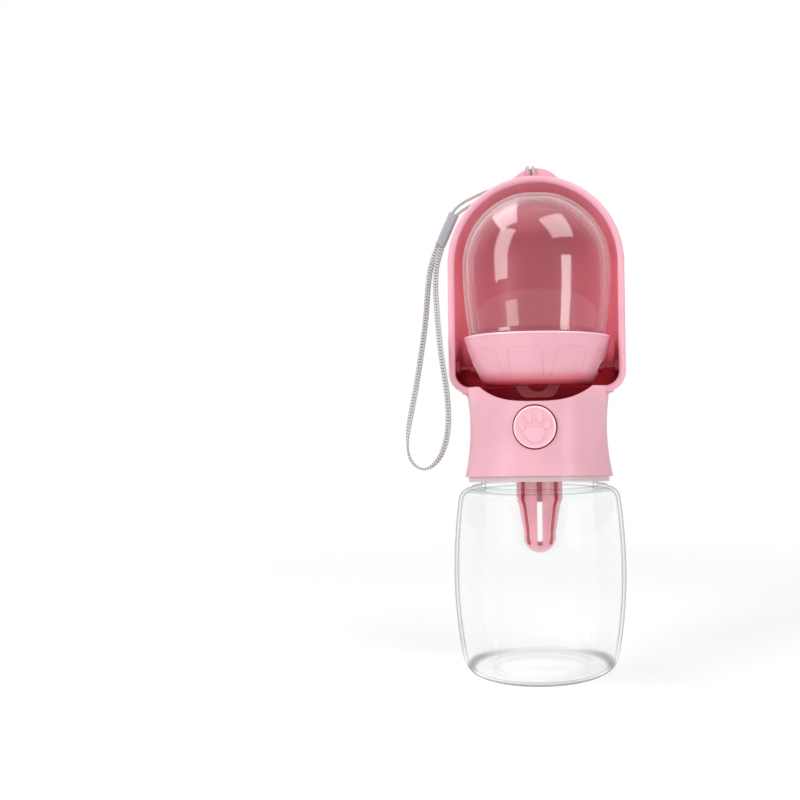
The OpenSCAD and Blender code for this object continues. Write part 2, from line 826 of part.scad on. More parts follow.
module button_spring() {
    front = button_face_y + cap_skin;
    color("silver") translate([0, front, button_z]) rotate([-90, 0, 0])
        coil_spring(button_coil_r, button_wire_r, 4, guide_back_y - guide_plate - front);
}

// ---- filter ----

module filter_oring() {
    color("dimgray") oring(cage_bore - fit - filter_oring_r, filter_oring_z, filter_oring_r);
}

// Half the cage's outline, moved in by the inset
module cage_outline(inset) {
    intersection() {
        union() {
            polygon([
                [0, cage_tip_mid + 1], [cage_tip_r - 0.15 - inset, cage_tip_mid + 1],
                [cage_r - 1.1 - inset, cage_taper_z - 3], [cage_r - inset, cage_taper_z],
                [cage_r - inset, gasket_z - 0.2], [0, gasket_z - 0.2]
            ]);
            translate([0, cage_tip_mid]) circle(r = cage_tip_r - inset);
        }
        square([far, far]);
    }
}

module filter_cage() {
    color("palevioletred") difference() {
        rotate_extrude() cage_outline(0);
        rotate_extrude() cage_outline(cage_wall);
        for (i = [0:cage_slots - 1])
            rotate([0, 0, 360 * i / cage_slots + slot_turn]) rotate([90, 0, 90])
                translate([0, 0, 2]) linear_extrude(cage_r) {
                    translate([-slot_half_w, slot_low_z])
                        square([2 * slot_half_w, slot_high_z - slot_low_z]);
                    for (z = [slot_low_z, slot_high_z])
                        translate([0, z]) circle(r = slot_half_w, $fn = 32);
                }
    }
}

module filter_cartridge() {
    color("ivory") translate([0, 0, cartridge_low_z])
        cylinder(r = cartridge_r, h = cartridge_top_z - cartridge_low_z);
}

// ---- cup ----

// Everything in front of the cup's open back
module cup_space() {
    translate([-far / 2, cup_back - far, 0]) cube([far, far, 2 * far]);
}

// Half the trough's outline, moved in by the inset
module trough_outline(inset) {
    middle = arc_middle(trough_turn, trough_lip, trough_side_arc);
    corner_mid = trough_foot_z + trough_corner;
    intersection() {
        translate(middle) circle(r = trough_side_arc - inset, $fn = 180);
        union() {
            translate([0, trough_turn.y]) square([far, trough_rim_z - trough_round - trough_turn.y]);
            translate([trough_corner_r, corner_mid]) circle(r = trough_corner - inset);
            translate([0, trough_foot_z + inset]) square([trough_corner_r, trough_corner]);
        }
        square([far, far]);
    }
}

module drinking_trough() {
    ear_inner_x = pin_inner_x - 1.2;
    ear_outer_x = trough_r - 3.8;
    color("pink") difference() {
        intersection() {
            union() {
                rotate_extrude() difference() {
                    union() {
                        trough_outline(0);
                        translate([trough_r - trough_round, trough_rim_z - trough_round])
                            circle(r = trough_round, $fn = 48);
                    }
                    intersection() {
                        trough_outline(trough_wall);
                        translate([0, trough_floor_z + trough_wall]) square([far, far]);
                    }
                    square([trough_hollow_r, trough_floor_z]);
                }
                ring(dome_skirt_r - 1.6, dome_skirt_r + 0.6, dome_seat_z - 1.4, 1.4);
                rod_x(ear_inner_x, ear_outer_x, -hinge_forward, hinge_z, ear_boss_r);
                rod_x(-ear_outer_x, -ear_inner_x, -hinge_forward, hinge_z, ear_boss_r);
            }
            cup_space();
        }
        rod_x(pin_inner_x - gap, far / 2, -hinge_forward, hinge_z, hinge_pin_r + fit);
        rod_x(-far / 2, -pin_inner_x + gap, -hinge_forward, hinge_z, hinge_pin_r + fit);
    }
    color("pink") inlet_tab();
}

// The tongue under the trough, with a round eye that comes over the nozzle when the cup is tipped
module inlet_tab() {
    side_x = tab_corner_x + tab_corner * cos(tab_slope);
    side_z = tab_corner_z - tab_corner * sin(tab_slope);
    difference() {
        translate([0, -tab_front + tab_t, 0]) rotate([90, 0, 0]) linear_extrude(tab_t) {
            polygon([
                [-side_x, side_z], [side_x, side_z],
                [tab_half_w, tab_turn_z], [tab_half_w, trough_floor_z + 0.5],
                [-tab_half_w, trough_floor_z + 0.5], [-tab_half_w, tab_turn_z]
            ]);
            translate([-tab_corner_x, tab_foot_z]) square([2 * tab_corner_x, tab_corner]);
            for (side = [-1, 1])
                translate([side * tab_corner_x, tab_corner_z]) circle(r = tab_corner);
        }
        translate([0, -far / 2, tab_hole_z]) rotate([-90, 0, 0]) cylinder(r = tab_hole_r, h = far / 2 + 5);
    }
}

module dome_seal() {
    color("whitesmoke") intersection() {
        ring(dome_skirt_r + gap, dome_foot_r - 0.4, trough_rim_z, dome_foot_z - trough_rim_z);
        cup_space();
    }
}

// Half the dome's outline, moved in by the inset
module dome_outline(inset) {
    intersection() {
        union() {
            intersection() {
                translate([0, hood_z]) circle(r = dome_r - inset, $fn = 180);
                translate([0, hood_z]) square([far, dome_top_z - inset - hood_z]);
            }
            intersection() {
                translate([dome_r - dome_side_arc, hood_z]) circle(r = dome_side_arc - inset, $fn = 360);
                translate([0, dome_seat_z - 1]) square([far, hood_z - dome_seat_z + 1]);
            }
        }
        square([far, 2 * far]);
    }
}

module dome_window() {
    color("white", 0.35) intersection() {
        union() {
            rotate_extrude() difference() {
                union() {
                    intersection() {
                        dome_outline(0);
                        translate([0, dome_foot_z]) square([far, far]);
                    }
                    translate([0, dome_seat_z]) square([dome_skirt_r, dome_foot_z - dome_seat_z + 1]);
                    translate([0, dome_foot_z]) square([dome_foot_r, dome_foot_h]);
                }
                intersection() {
                    dome_outline(dome_wall);
                    translate([0, dome_foot_z + dome_foot_h]) square([far, far]);
                }
                translate([0, dome_seat_z - 1])
                    square([dome_skirt_r - dome_wall, dome_foot_z + dome_foot_h - dome_seat_z + 2]);
            }
            intersection() {
                rotate_extrude() difference() {
                    intersection() {
                        dome_outline(dome_wall / 2);
                        translate([0, dome_foot_z]) square([far, far]);
                    }
                    dome_outline(brim_w);
                }
                translate([-far / 2, cup_back - brim_t, 0]) cube([far, brim_t, 2 * far]);
            }
        }
        cup_space();
    }
}

module hinge_pin(side) {
    x0 = side > 0 ? pin_inner_x : -pin_outer_x;
    color("palevioletred") rod_x(x0, x0 + pin_outer_x - pin_inner_x, -hinge_forward, hinge_z, hinge_pin_r);
}

module hinge_pin_left() {
    hinge_pin(-1);
}

module hinge_pin_right() {
    hinge_pin(1);
}

// ---- lanyard ----

module carrying_cord() {
    color("gainsboro") tube(cord_route, cord_d / 2, 8);
}

module strap_sleeve() {
    color("darkgray") translate(sleeve_top) rotate([0, sleeve_slant, 0]) translate([0, 0, -sleeve_l])
        linear_extrude(sleeve_l) {
            square([sleeve_w - 2 * sleeve_round, sleeve_t], center = true);
            square([sleeve_w, sleeve_t - 2 * sleeve_round], center = true);
            for (x = [-1, 1], y = [-1, 1])
                translate([x * (sleeve_w / 2 - sleeve_round), y * (sleeve_t / 2 - sleeve_round)])
                    circle(r = sleeve_round, $fn = 24);
        }
}

module wrist_strap() {
    color("gainsboro") tube(strap_route, strap_w / 2, 8);
}

// ---- parts ----

bottle_body();
neck_gasket();
plug_oring();
head_shell();
thread_sleeve();
bulkhead();
valve_chamber();
chamber_screws();
valve_deck();
outlet_nozzle();
valve_seal();
valve_stem();
lift_pin();
valve_spring();
stem_oring();
push_button();
button_guide();
button_spring();
filter_oring();
filter_cage();
filter_cartridge();
drinking_trough();
dome_seal();
dome_window();
hinge_pin_left();
hinge_pin_right();
carrying_cord();
strap_sleeve();
wrist_strap();
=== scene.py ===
import json
import logging
import math
from dataclasses import dataclass
from enum import Enum
from typing import Callable, Iterable, Optional, Sequence, Union

import bmesh
import bpy
from mathutils import Matrix, Vector

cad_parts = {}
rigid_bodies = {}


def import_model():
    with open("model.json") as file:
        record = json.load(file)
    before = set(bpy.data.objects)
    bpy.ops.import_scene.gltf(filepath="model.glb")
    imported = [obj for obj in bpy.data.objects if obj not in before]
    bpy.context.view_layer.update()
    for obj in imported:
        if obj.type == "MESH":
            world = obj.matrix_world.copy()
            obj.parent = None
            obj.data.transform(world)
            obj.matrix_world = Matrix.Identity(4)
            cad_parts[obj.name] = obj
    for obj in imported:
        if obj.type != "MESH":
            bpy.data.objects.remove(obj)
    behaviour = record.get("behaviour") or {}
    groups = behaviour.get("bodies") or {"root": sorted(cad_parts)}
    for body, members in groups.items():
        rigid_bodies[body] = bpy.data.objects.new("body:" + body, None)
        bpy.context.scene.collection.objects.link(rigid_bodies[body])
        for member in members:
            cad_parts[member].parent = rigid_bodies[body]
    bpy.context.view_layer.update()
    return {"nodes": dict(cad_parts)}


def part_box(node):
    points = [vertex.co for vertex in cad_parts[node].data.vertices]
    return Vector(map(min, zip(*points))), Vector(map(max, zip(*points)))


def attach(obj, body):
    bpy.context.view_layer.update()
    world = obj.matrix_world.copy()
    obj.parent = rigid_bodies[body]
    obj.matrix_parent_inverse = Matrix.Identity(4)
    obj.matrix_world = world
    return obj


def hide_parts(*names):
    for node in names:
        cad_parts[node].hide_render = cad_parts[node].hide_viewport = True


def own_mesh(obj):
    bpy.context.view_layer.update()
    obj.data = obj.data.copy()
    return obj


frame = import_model()

LOG = logging.getLogger("dog_bottle")
MM = 0.001
Colour = tuple[float, float, float]
Span = tuple[float, float]
Value = Union["Signal", int, float]
Tint = Union["Signal", Colour]
BLACK: Colour = (0.0, 0.0, 0.0)
WHITE: Colour = (1.0, 1.0, 1.0)


# ---- shader maths ----


@dataclass(frozen=True)
class Band:
    """A colour that comes in over a span of heights, or of another measure.

    Attributes:
        span: The measure at which it starts and that at which it is whole.
        share: How much of it shows there.
    """

    colour: Colour
    span: Span
    share: float = 1.0


class Signal:
    """A shader socket that takes part in Python sums."""

    def __init__(self, shader: "Shader", socket: bpy.types.NodeSocket) -> None:
        """Keep the socket and the shader that it belongs to."""
        self.shader = shader
        self.socket = socket

    def math(self, operation: str, *others: Value, flip: bool = False) -> "Signal":
        """Add a Math node.

        Args:
            operation: The Math node's operation.
            others: What goes into its other sockets.
            flip: True where this signal is the second operand.

        Returns:
            The node's result.
        """
        values = [self, *others]
        if flip:
            values.reverse()
        return self.shader.read("ShaderNodeMath", {"operation": operation}, dict(enumerate(values)))

    def __add__(self, other: Value) -> "Signal":
        """Add."""
        return self.math("ADD", other)

    __radd__ = __add__

    def __sub__(self, other: Value) -> "Signal":
        """Take other away."""
        return self.math("SUBTRACT", other)

    def __rsub__(self, other: float) -> "Signal":
        """Take this from a number."""
        return self.math("SUBTRACT", other, flip=True)

    def __mul__(self, other: Value) -> "Signal":
        """Multiply."""
        return self.math("MULTIPLY", other)

    __rmul__ = __mul__

    def __truediv__(self, other: Value) -> "Signal":
        """Divide by other."""
        return self.math("DIVIDE", other)

    def highest(self, other: Value) -> "Signal":
        """Return the larger of two."""
        return self.math("MAXIMUM", other)

    def near(self, middle: float, span: Span) -> "Signal":
        """Return a smooth step by the distance from a middle value, over a span of distances."""
        return (self - middle).math("ABSOLUTE").ease(*span)

    def ease(self, low: float, high: float) -> "Signal":
        """Return a smooth step.

        Args:
            low: The value at which the step begins.
            high: The value at which it is whole. It may be the smaller one.

        Returns:
            0 at low, 1 at high, and a smooth rise between them.
        """
        turned = low > high
        settings = {"interpolation_type": "SMOOTHSTEP"}
        values = {"Value": self, "From Min": min(low, high), "From Max": max(low, high)}
        values |= {"To Min": float(turned), "To Max": float(not turned)}
        return self.shader.read("ShaderNodeMapRange", settings, values)


class Shader:
    """A material that is being made, with its one Principled shader."""

    def __init__(self, name: str) -> None:
        """Make an empty material with a Principled shader wired to its output.

        Args:
            name: The material's name.
        """
        self.material = bpy.data.materials.new(name)
        self.material.use_nodes = True
        self.tree = self.material.node_tree
        self.tree.nodes.clear()
        self.principled = self.node("ShaderNodeBsdfPrincipled")
        self.output = self.node("ShaderNodeOutputMaterial", values={"Surface": self.principled.outputs[0]})

    def node(
        self, kind: str, settings: Optional[dict] = None, values: Optional[dict] = None
    ) -> bpy.types.Node:
        """Add a node.

        Args:
            kind: The node's type.
            settings: Its settings, such as a Math node's operation, which are set first.
            values: What its sockets hold, by name or number: numbers, colours, signals or sockets.

        Returns:
            The node.
        """
        made = self.tree.nodes.new(kind)
        for key, value in (settings or {}).items():
            setattr(made, key, value)
        for key, value in (values or {}).items():
            self.put(made.inputs[key], value)
        return made

    def read(
        self,
        kind: str,
        settings: Optional[dict] = None,
        values: Optional[dict] = None,
        out: Union[int, str] = 0,
    ) -> Signal:
        """Add a node, as node does, and return its output of that number or name."""
        return Signal(self, self.node(kind, settings, values).outputs[out])

    def put(self, socket: bpy.types.NodeSocket, value: object) -> None:
        """Fill a socket.

        Args:
            socket: What is filled.
            value: A signal or socket to link to it, or a plain value, a colour of three parts among them.
        """
        if isinstance(value, Signal):
            self.tree.links.new(value.socket, socket)
        elif isinstance(value, bpy.types.NodeSocket):
            self.tree.links.new(value, socket)
        elif socket.type == "RGBA" and isinstance(value, tuple) and len(value) == 3:
            socket.default_value = (*value, 1.0)
        else:
            socket.default_value = value

    def set(self, **values: object) -> None:
        """Set the Principled shader's sockets, named with _ for a space."""
        for key, value in values.items():
            self.put(self.principled.inputs[key.replace("_", " ")], value)

    def place(self) -> Signal:
        """Return the point on the piece, in metres."""
        return self.read("ShaderNodeTexCoord", out="Object")

    def xyz(self) -> tuple[Signal, Signal, Signal]:
        """Return the point on the piece as three parts, in metres."""
        return self.axes(self.place())

    def axes(self, vector: Signal) -> tuple[Signal, Signal, Signal]:
        """Split a vector into its three parts."""
        split = self.node("ShaderNodeSeparateXYZ", values={0: vector})
        return tuple(Signal(self, out) for out in split.outputs)

    def vector(self, x: Value, y: Value, z: Value) -> Signal:
        """Join three parts into a vector."""
        return self.read("ShaderNodeCombineXYZ", values={0: x, 1: y, 2: z})

    def facing(self) -> Signal:
        """Return 0 where the surface is seen square on, and 1 where it is seen along itself."""
        return self.read("ShaderNodeLayerWeight", values={"Blend": 0.5}, out="Facing")

    def ray(self, kind: str) -> Signal:
        """Return 1 for rays of a kind, such as Camera or Shadow, and 0 for others."""
        return self.read("ShaderNodeLightPath", out=f"Is {kind} Ray")

    def reach(self, x: Value, y: Value, z: Value = 0.0) -> Signal:
        """Return the length of a vector with these parts."""
        return self.read("ShaderNodeVectorMath", {"operation": "LENGTH"}, {0: self.vector(x, y, z)}, "Value")

    def noise(self, grain: float, detail: float = 2.0, at: Optional[Signal] = None) -> Signal:
        """Return noise from 0 to 1.

        Args:
            grain: The size of its spots, in metres.
            detail: How many finer layers it has.
            at: Where it is read, the point on the piece unless given.

        Returns:
            The noise.
        """
        values = {"Vector": at or self.place(), "Scale": 1 / grain, "Detail": detail, "Roughness": 0.55}
        return self.read("ShaderNodeTexNoise", values=values)

    def blend(self, first: Tint, second: Tint, share: Value) -> Signal:
        """Mix two colours.

        Args:
            first: The colour where share is 0.
            second: The colour where it is 1.
            share: How much of the second shows.

        Returns:
            The mixed colour.
        """
        made = self.node("ShaderNodeMix", {"data_type": "RGBA"})
        self.put(made.inputs[0], share)
        self.put(made.inputs[6], first)
        self.put(made.inputs[7], second)
        return Signal(self, made.outputs[2])

    def lay(self, base: Tint, band: Band, measure: Signal, where: Value = 1.0) -> Signal:
        """Lay a band's colour over another colour.

        Args:
            base: The colour under it.
            band: What is laid on.
            measure: What the band's span is read against, such as the height.
            where: A further share of it.

        Returns:
            The mixed colour.
        """
        return self.blend(base, band.colour, measure.ease(*band.span) * band.share * where)

    def relief(self, height: Signal, depth: float, strength: float = 1.0) -> None:
        """Raise the surface by a height from 0 to 1, times a depth in metres."""
        made = self.node("ShaderNodeBump", values={"Height": height, "Distance": depth, "Strength": strength})
        self.set(Normal=made.outputs[0])

    def see_through(self, tint: Colour) -> bpy.types.NodeSocket:
        """Return a shader that lets light pass straight through, with a tint."""
        return self.node("ShaderNodeBsdfTransparent", values={0: tint}).outputs[0]

    def glow(self, strength: float) -> bpy.types.NodeSocket:
        """Return a shader that gives off white light."""
        return self.node("ShaderNodeEmission", values={0: WHITE, 1: strength}).outputs[0]

    def mix(
        self, first: bpy.types.NodeSocket, second: bpy.types.NodeSocket, share: Value
    ) -> bpy.types.NodeSocket:
        """Mix two shaders, with share of the second, and return the result."""
        return self.node("ShaderNodeMixShader", values={0: share, 1: first, 2: second}).outputs[0]

    def let_lamps_through(self, tint: Colour, body: Optional[bpy.types.NodeSocket] = None) -> None:
        """Let the light of lamps pass straight through, as thin clear plastic does.

        Args:
            tint: The colour that the light takes on.
            body: The shader for all else, the Principled shader unless given.
        """
        body = body or self.principled.outputs[0]
        self.put(self.output.inputs["Surface"], self.mix(body, self.see_through(tint), self.ray("Shadow")))


# ---- finishes ----


def shade(colour: Colour, share: float) -> Colour:
    """Return a colour made darker, with share of its light left."""
    return tuple(part * share for part in colour)


@dataclass(frozen=True)
class Moulding:
    """Coloured moulded plastic, a little satin under a thin gloss.

    Attributes:
        gloss: Weight of the thin gloss on it.
        shine: How strongly its own skin reflects.
        grain: Size of the fine bumps of its skin.
        grain_depth: Height of those bumps.
        cloud: Size of its slightly darker patches.
        cloud_span: The noise from which a patch starts to that at which it is whole.
        cloud_shade: How much darker a patch is.
    """

    name: str
    colour: Colour
    roughness: float = 0.3
    gloss: float = 0.35
    shine: float = 0.5
    grain: float = 0.45 * MM
    grain_depth: float = 0.006 * MM
    cloud: float = 14 * MM
    cloud_span: Span = (0.42, 0.7)
    cloud_shade: float = 0.045

    def make(self, tint: Optional[Callable[[Shader, Colour], Tint]] = None) -> bpy.types.Material:
        """Make the material.

        Args:
            tint: Gives the base colour from the shader and the plain colour, where it changes over a piece.

        Returns:
            The material.
        """
        shader = Shader(self.name)
        base = tint(shader, self.colour) if tint else self.colour
        clouds = shader.noise(self.cloud, detail=1.0)
        peel = shader.noise(self.grain, detail=2.0)
        shader.set(Base_Color=shader.blend(base, BLACK, self.cloud_shade * clouds.ease(*self.cloud_span)))
        shader.set(Roughness=self.roughness + 0.09 * (peel - 0.5) + 0.05 * (clouds - 0.5))
        shader.set(Coat_Weight=self.gloss, Coat_Roughness=0.07, IOR=1.49, Specular_IOR_Level=self.shine)
        shader.relief(peel, self.grain_depth, strength=0.6)
        return shader.material


@dataclass(frozen=True)
class ClearPlastic:
    """Polished clear plastic with the faint waves of its moulding.

    Attributes:
        tint: Colour of what is seen through it.
        rim_shade: How much of that is left where its wall is seen along itself: a painted shade that darkens
            its edges.
        film: Colour of a matt layer of painted light or shade on it: grey for painted dark lines, whitish for
            a painted reflection.
        refraction: How strongly it bends light.
        roughness: How dull its polish is.
        rim_span: How far along itself a wall is seen where it starts to darken, and where it is darkest.
        straight: Share of the light left after it passes one face without bending.
        lamp_share: Share of the lamps' light that it lets on to what lies behind.
    """

    name: str
    tint: Colour
    rim_shade: float = 0.9
    film: Colour = (0.80, 0.78, 0.79)
    refraction: float = 1.5
    roughness: float = 0.015
    rim_span: Span = (0.72, 0.98)
    straight: float = 0.996
    lamp_share: float = 0.96

    def make(
        self,
        tint: Callable[[Shader, Colour], Tint],
        thin: Callable[[Shader], Signal],
        painted_light_share: Callable[[Shader], Signal],
    ) -> bpy.types.Material:
        """Make the material.

        Args:
            tint: Gives the colour seen through it from the shader and the plain tint.
            thin: Gives the share of the light that passes without bending.
            painted_light_share: Gives the share of the film, its painted light or shade, that shows.

        Returns:
            The material.
        """
        shader = Shader(self.name)
        waves = shader.noise(9 * MM, detail=1.0)
        dust = shader.noise(0.5 * MM, detail=3.0)
        base = shader.blend(tint(shader, self.tint), shade(self.tint, 0.985), 0.3 * waves)
        # Painted shade: the colour darkens where the wall is seen along itself.
        rim = shader.facing().ease(*self.rim_span)
        shader.set(Base_Color=shader.blend(base, shade(self.tint, self.rim_shade), rim))
        shader.set(Transmission_Weight=1.0, IOR=self.refraction)
        shader.set(Roughness=self.roughness + 0.03 * dust.ease(0.62, 0.8))
        shader.relief(waves, 0.02 * MM, strength=0.25)
        unbent = shader.see_through(shade(self.tint, self.straight))
        # Painted light and shade: a matt layer of the film colour, mixed in by the last share given.
        film = shader.node("ShaderNodeBsdfDiffuse", values={0: self.film}).outputs[0]
        body = shader.mix(shader.principled.outputs[0], unbent, thin(shader))
        shader.let_lamps_through(shade(self.tint, self.lamp_share), shader.mix(body, film, painted_light_share(shader)))
        return shader.material


@dataclass(frozen=True)
class Silicone:
    """Soft matt rubber or silicone with a little bloom on it."""

    name: str
    colour: Colour
    roughness: float = 0.55

    def make(self) -> bpy.types.Material:
        """Make the material.

        Returns:
            The material.
        """
        shader = Shader(self.name)
        bloom = shader.noise(2.2 * MM, detail=3.0)
        skin = shader.noise(0.25 * MM, detail=2.0)
        shader.set(Base_Color=shader.blend(self.colour, shade(self.colour, 0.86), bloom.ease(0.4, 0.72)))
        shader.set(Roughness=self.roughness + 0.16 * (bloom - 0.5), IOR=1.41)
        shader.relief(skin, 0.012 * MM, strength=0.5)
        return shader.material


@dataclass(frozen=True)
class Steel:
    """Drawn or turned stainless steel with fine lines along it."""

    name: str
    colour: Colour = (0.62, 0.61, 0.59)
    roughness: float = 0.26

    def make(self) -> bpy.types.Material:
        """Make the material.

        Returns:
            The material.
        """
        shader = Shader(self.name)
        x, y, z = shader.xyz()
        drawn = shader.noise(0.6 * MM, detail=3.0, at=shader.vector(x, y, z * 14))
        stain = shader.noise(3 * MM, detail=2.0)
        shader.set(Base_Color=shader.blend(self.colour, shade(self.colour, 0.8), stain.ease(0.45, 0.8)))
        shader.set(Metallic=1.0, Roughness=self.roughness + 0.2 * (drawn - 0.5))
        shader.relief(drawn, 0.006 * MM, strength=0.5)
        return shader.material


@dataclass(frozen=True)
class Felt:
    """Pressed fibre, of fine crossing hairs."""

    name: str
    colour: Colour

    def make(self) -> bpy.types.Material:
        """Make the material.

        Returns:
            The material.
        """
        shader = Shader(self.name)
        x, y, z = shader.xyz()
        upright = shader.noise(0.3 * MM, detail=4.0, at=shader.vector(x * 2.5, y * 2.5, z * 0.5))
        level = shader.noise(0.3 * MM, detail=4.0, at=shader.vector(x * 0.6, y * 0.6, z * 3))
        fibres = upright.highest(level)
        shader.set(Base_Color=shader.blend(shade(self.colour, 0.72), self.colour, fibres.ease(0.4, 0.68)))
        shader.set(Roughness=0.95, Sheen_Weight=0.3)
        shader.relief(fibres, 0.12 * MM, strength=0.8)
        return shader.material


@dataclass(frozen=True)
class Braid:
    """Plaited yarn, read along and across the piece's own UV map, whose unit is a millimetre.

    Attributes:
        pitch: Length of one stitch along the braid, in millimetres.
        slant: How far a stitch runs along the braid from its edge to its middle, in millimetres.
        columns: Stitches across the braid.
        width: Length of UV across which those stitches lie, in millimetres.
    """

    name: str
    colour: Colour
    dark: Colour
    pitch: float = 1.3
    slant: float = 0.55
    columns: float = 2.0
    width: float = 2.4

    def make(self) -> bpy.types.Material:
        """Make the material.

        Returns:
            The material.
        """
        shader = Shader(self.name)
        along, across, _ = shader.axes(shader.read("ShaderNodeUVMap", {"uv_map": "lay"}))
        lane = across * (self.columns / self.width)
        zigzag = lane.math("PINGPONG", 1.0)
        stitch = (along + zigzag * self.slant * 2) * (1 / self.pitch)
        crown = stitch.math("PINGPONG", 0.5) * 2
        valley = zigzag.math("PINGPONG", 0.5) * 2
        height = crown.ease(0.0, 0.75) * (0.35 + 0.65 * valley.ease(0.0, 0.45))
        hair = shader.noise(0.16 * MM, detail=3.0)
        # Painted shade: the yarn is darker down in the valleys between stitches.
        yarn = shader.blend(self.dark, self.colour, height.ease(0.12, 0.62))
        shader.set(Base_Color=shader.blend(yarn, shade(self.colour, 0.72), hair.ease(0.5, 0.85)))
        shader.set(Roughness=0.82, Sheen_Weight=0.25)
        shader.relief(height + 0.25 * hair, 0.16 * MM, strength=0.9)
        return shader.material


class Slot(Enum):
    """The record's material slots that new pieces take their finish from."""

    BUTTON = "button_plastic"
    PINK = "pink_plastic"
    CORD = "cord_fabric"
    STRAP = "strap_fabric"


PINK: Colour = (0.895, 0.445, 0.535)
# Painted shade, not the plastic's own colours: the pinks below deepen the hood's hollow, lightest at its top
# and deepest at its back, and the reds darken the button's gap, the well and the small pieces that sit in
# shadow.
SHADE_PINK: Colour = (0.93, 0.36, 0.42)
HOLLOW_SHADE_PINK: Colour = (0.80, 0.215, 0.265)
BACK_SHADE_PINK: Colour = (0.505, 0.066, 0.105)
GAP_SHADE_RED: Colour = (0.40, 0.008, 0.02)
WELL_SHADE_RED: Colour = (0.27, 0.008, 0.016)


# ---- workshop ----


def select_only(*pieces: bpy.types.Object) -> None:
    """Select these objects alone and make the first the active one, or select nothing."""
    for other in bpy.context.view_layer.objects:
        other.select_set(other in pieces)
    bpy.context.view_layer.objects.active = pieces[0] if pieces else None


def name_active(name: str) -> bpy.types.Object:
    """Name the object that was just added, and its mesh.

    Args:
        name: The new name.

    Returns:
        The object.
    """
    piece = bpy.context.object
    piece.name = name
    piece.data.name = name
    return piece


def settle(piece: bpy.types.Object) -> None:
    """Apply the object's modifiers, and put its place into its mesh.

    Args:
        piece: The object.
    """
    select_only(piece)
    for modifier in list(piece.modifiers):
        bpy.ops.object.modifier_apply(modifier=modifier.name)
    bpy.ops.object.transform_apply(location=True, rotation=True, scale=True)


def face_outwards(piece: bpy.types.Object) -> None:
    """Close open ends, merge doubled points and turn all faces outwards.

    Args:
        piece: The object.
    """
    select_only(piece)
    bpy.ops.object.mode_set(mode="EDIT")
    bpy.ops.mesh.select_all(action="SELECT")
    bpy.ops.mesh.fill_holes(sides=0)
    bpy.ops.mesh.remove_doubles(threshold=0.0005 * MM)
    bpy.ops.mesh.normals_make_consistent(inside=False)
    bpy.ops.object.mode_set(mode="OBJECT")


def smooth(piece: bpy.types.Object, angle: float = 35.0) -> None:
    """Shade smoothly but for edges sharper than an angle in degrees."""
    select_only(piece)
    bpy.ops.object.shade_smooth_by_angle(angle=math.radians(angle))


def join(name: str, parts: Sequence[bpy.types.Object]) -> bpy.types.Object:
    """Join parts into one object.

    Args:
        name: The object's new name.
        parts: What is joined.

    Returns:
        The joined object.
    """
    select_only(*parts)
    bpy.ops.object.join()
    return name_active(name)


def give(piece: bpy.types.Object, material: bpy.types.Material) -> None:
    """Put one material on the whole object."""
    piece.data.materials.clear()
    piece.data.materials.append(material)


def dress_nodes(finishes: dict[str, bpy.types.Material]) -> None:
    """Put a material on each CAD node named, and log it."""
    for node, material in finishes.items():
        give(frame["nodes"][node], material)
        LOG.info("node %s: %s", node, material.name)


def curve_through(points: Sequence[Vector], steps: int) -> list[Vector]:
    """Return a smooth line through points.

    Args:
        points: What the line passes through.
        steps: Stretches from each point to the next.

    Returns:
        The points of the line, the given ones among them.
    """
    line = []
    for i in range(len(points) - 1):
        near = (points[min(max(k, 0), len(points) - 1)] for k in range(i - 1, i + 3))
        before, start, end, after = near
        way, bend = end - before, 2 * before - 5 * start + 4 * end - after
        twist = 3 * start - before - 3 * end + after
        for step in range(steps):
            t = step / steps
            line.append(0.5 * (2 * start + way * t + bend * t**2 + twist * t**3))
    return [*line, points[-1].copy()]


@dataclass
class Sweep:
    """A closed tube round a line, with a UV map in millimetres along and across it.

    Attributes:
        line: The middles of its rings, in metres.
        width: Its size across, in metres.
        thickness: Its size through, in metres.
        face: The way that its flat side looks at a share of its length from 0 to 1.
        sides: Points in a ring.
        squareness: The power of a flat ring's curve, below 1 for fuller corners.
    """

    line: list[Vector]
    width: float
    thickness: float
    face: Callable[[float, Vector], Vector]
    sides: int = 16
    squareness: float = 0.75

    def make(self, name: str) -> bpy.types.Object:
        """Make the tube.

        Args:
            name: The object's name.

        Returns:
            The object.
        """
        mesh = bpy.data.meshes.new(name)
        work = bmesh.new()
        lay = work.loops.layers.uv.new("lay")
        last = len(self.line) - 1
        run = [0.0]
        for i in range(last):
            run.append(run[-1] + (self.line[i + 1] - self.line[i]).length)
        rings = []
        for i, middle in enumerate(self.line):
            ahead = (self.line[min(i + 1, last)] - self.line[max(i - 1, 0)]).normalized()
            out = self.face(run[i] / run[-1], ahead)
            out = (out - ahead * out.dot(ahead)).normalized()
            side = ahead.cross(out)
            rings.append([work.verts.new(middle + self.corner(k, side, out)) for k in range(self.sides)])
        perimeter = 2 * self.width / MM
        for i in range(last):
            for k in range(self.sides):
                j = (k + 1) % self.sides
                made = work.faces.new((rings[i][k], rings[i][j], rings[i + 1][j], rings[i + 1][k]))
                made.smooth = True
                corners = ((i, k), (i, k + 1), (i + 1, k + 1), (i + 1, k))
                for loop, (u, v) in zip(made.loops, corners):
                    loop[lay].uv = (run[u] / MM, v / self.sides * perimeter)
        for ring in (rings[0], list(reversed(rings[-1]))):
            work.faces.new(list(reversed(ring)))
        work.to_mesh(mesh)
        work.free()
        piece = bpy.data.objects.new(name, mesh)
        bpy.context.scene.collection.objects.link(piece)
        face_outwards(piece)
        return piece

    def corner(self, k: int, side: Vector, out: Vector) -> Vector:
        """Place one point of a ring, round or flat with rounded edges.

        Args:
            k: The point's number.
            side: The way across the ring.
            out: The way that its flat side looks.

        Returns:
            The point, from the ring's middle.
        """
        turn = 2 * math.pi * k / self.sides
        x, y = math.cos(turn), math.sin(turn)
        power = 1.0 if self.width == self.thickness else self.squareness
        x, y = (math.copysign(abs(v) ** power, v) for v in (x, y))
        return side * (x * self.width / 2) + out * (y * self.thickness / 2)


# ---- sub-assemblies ----


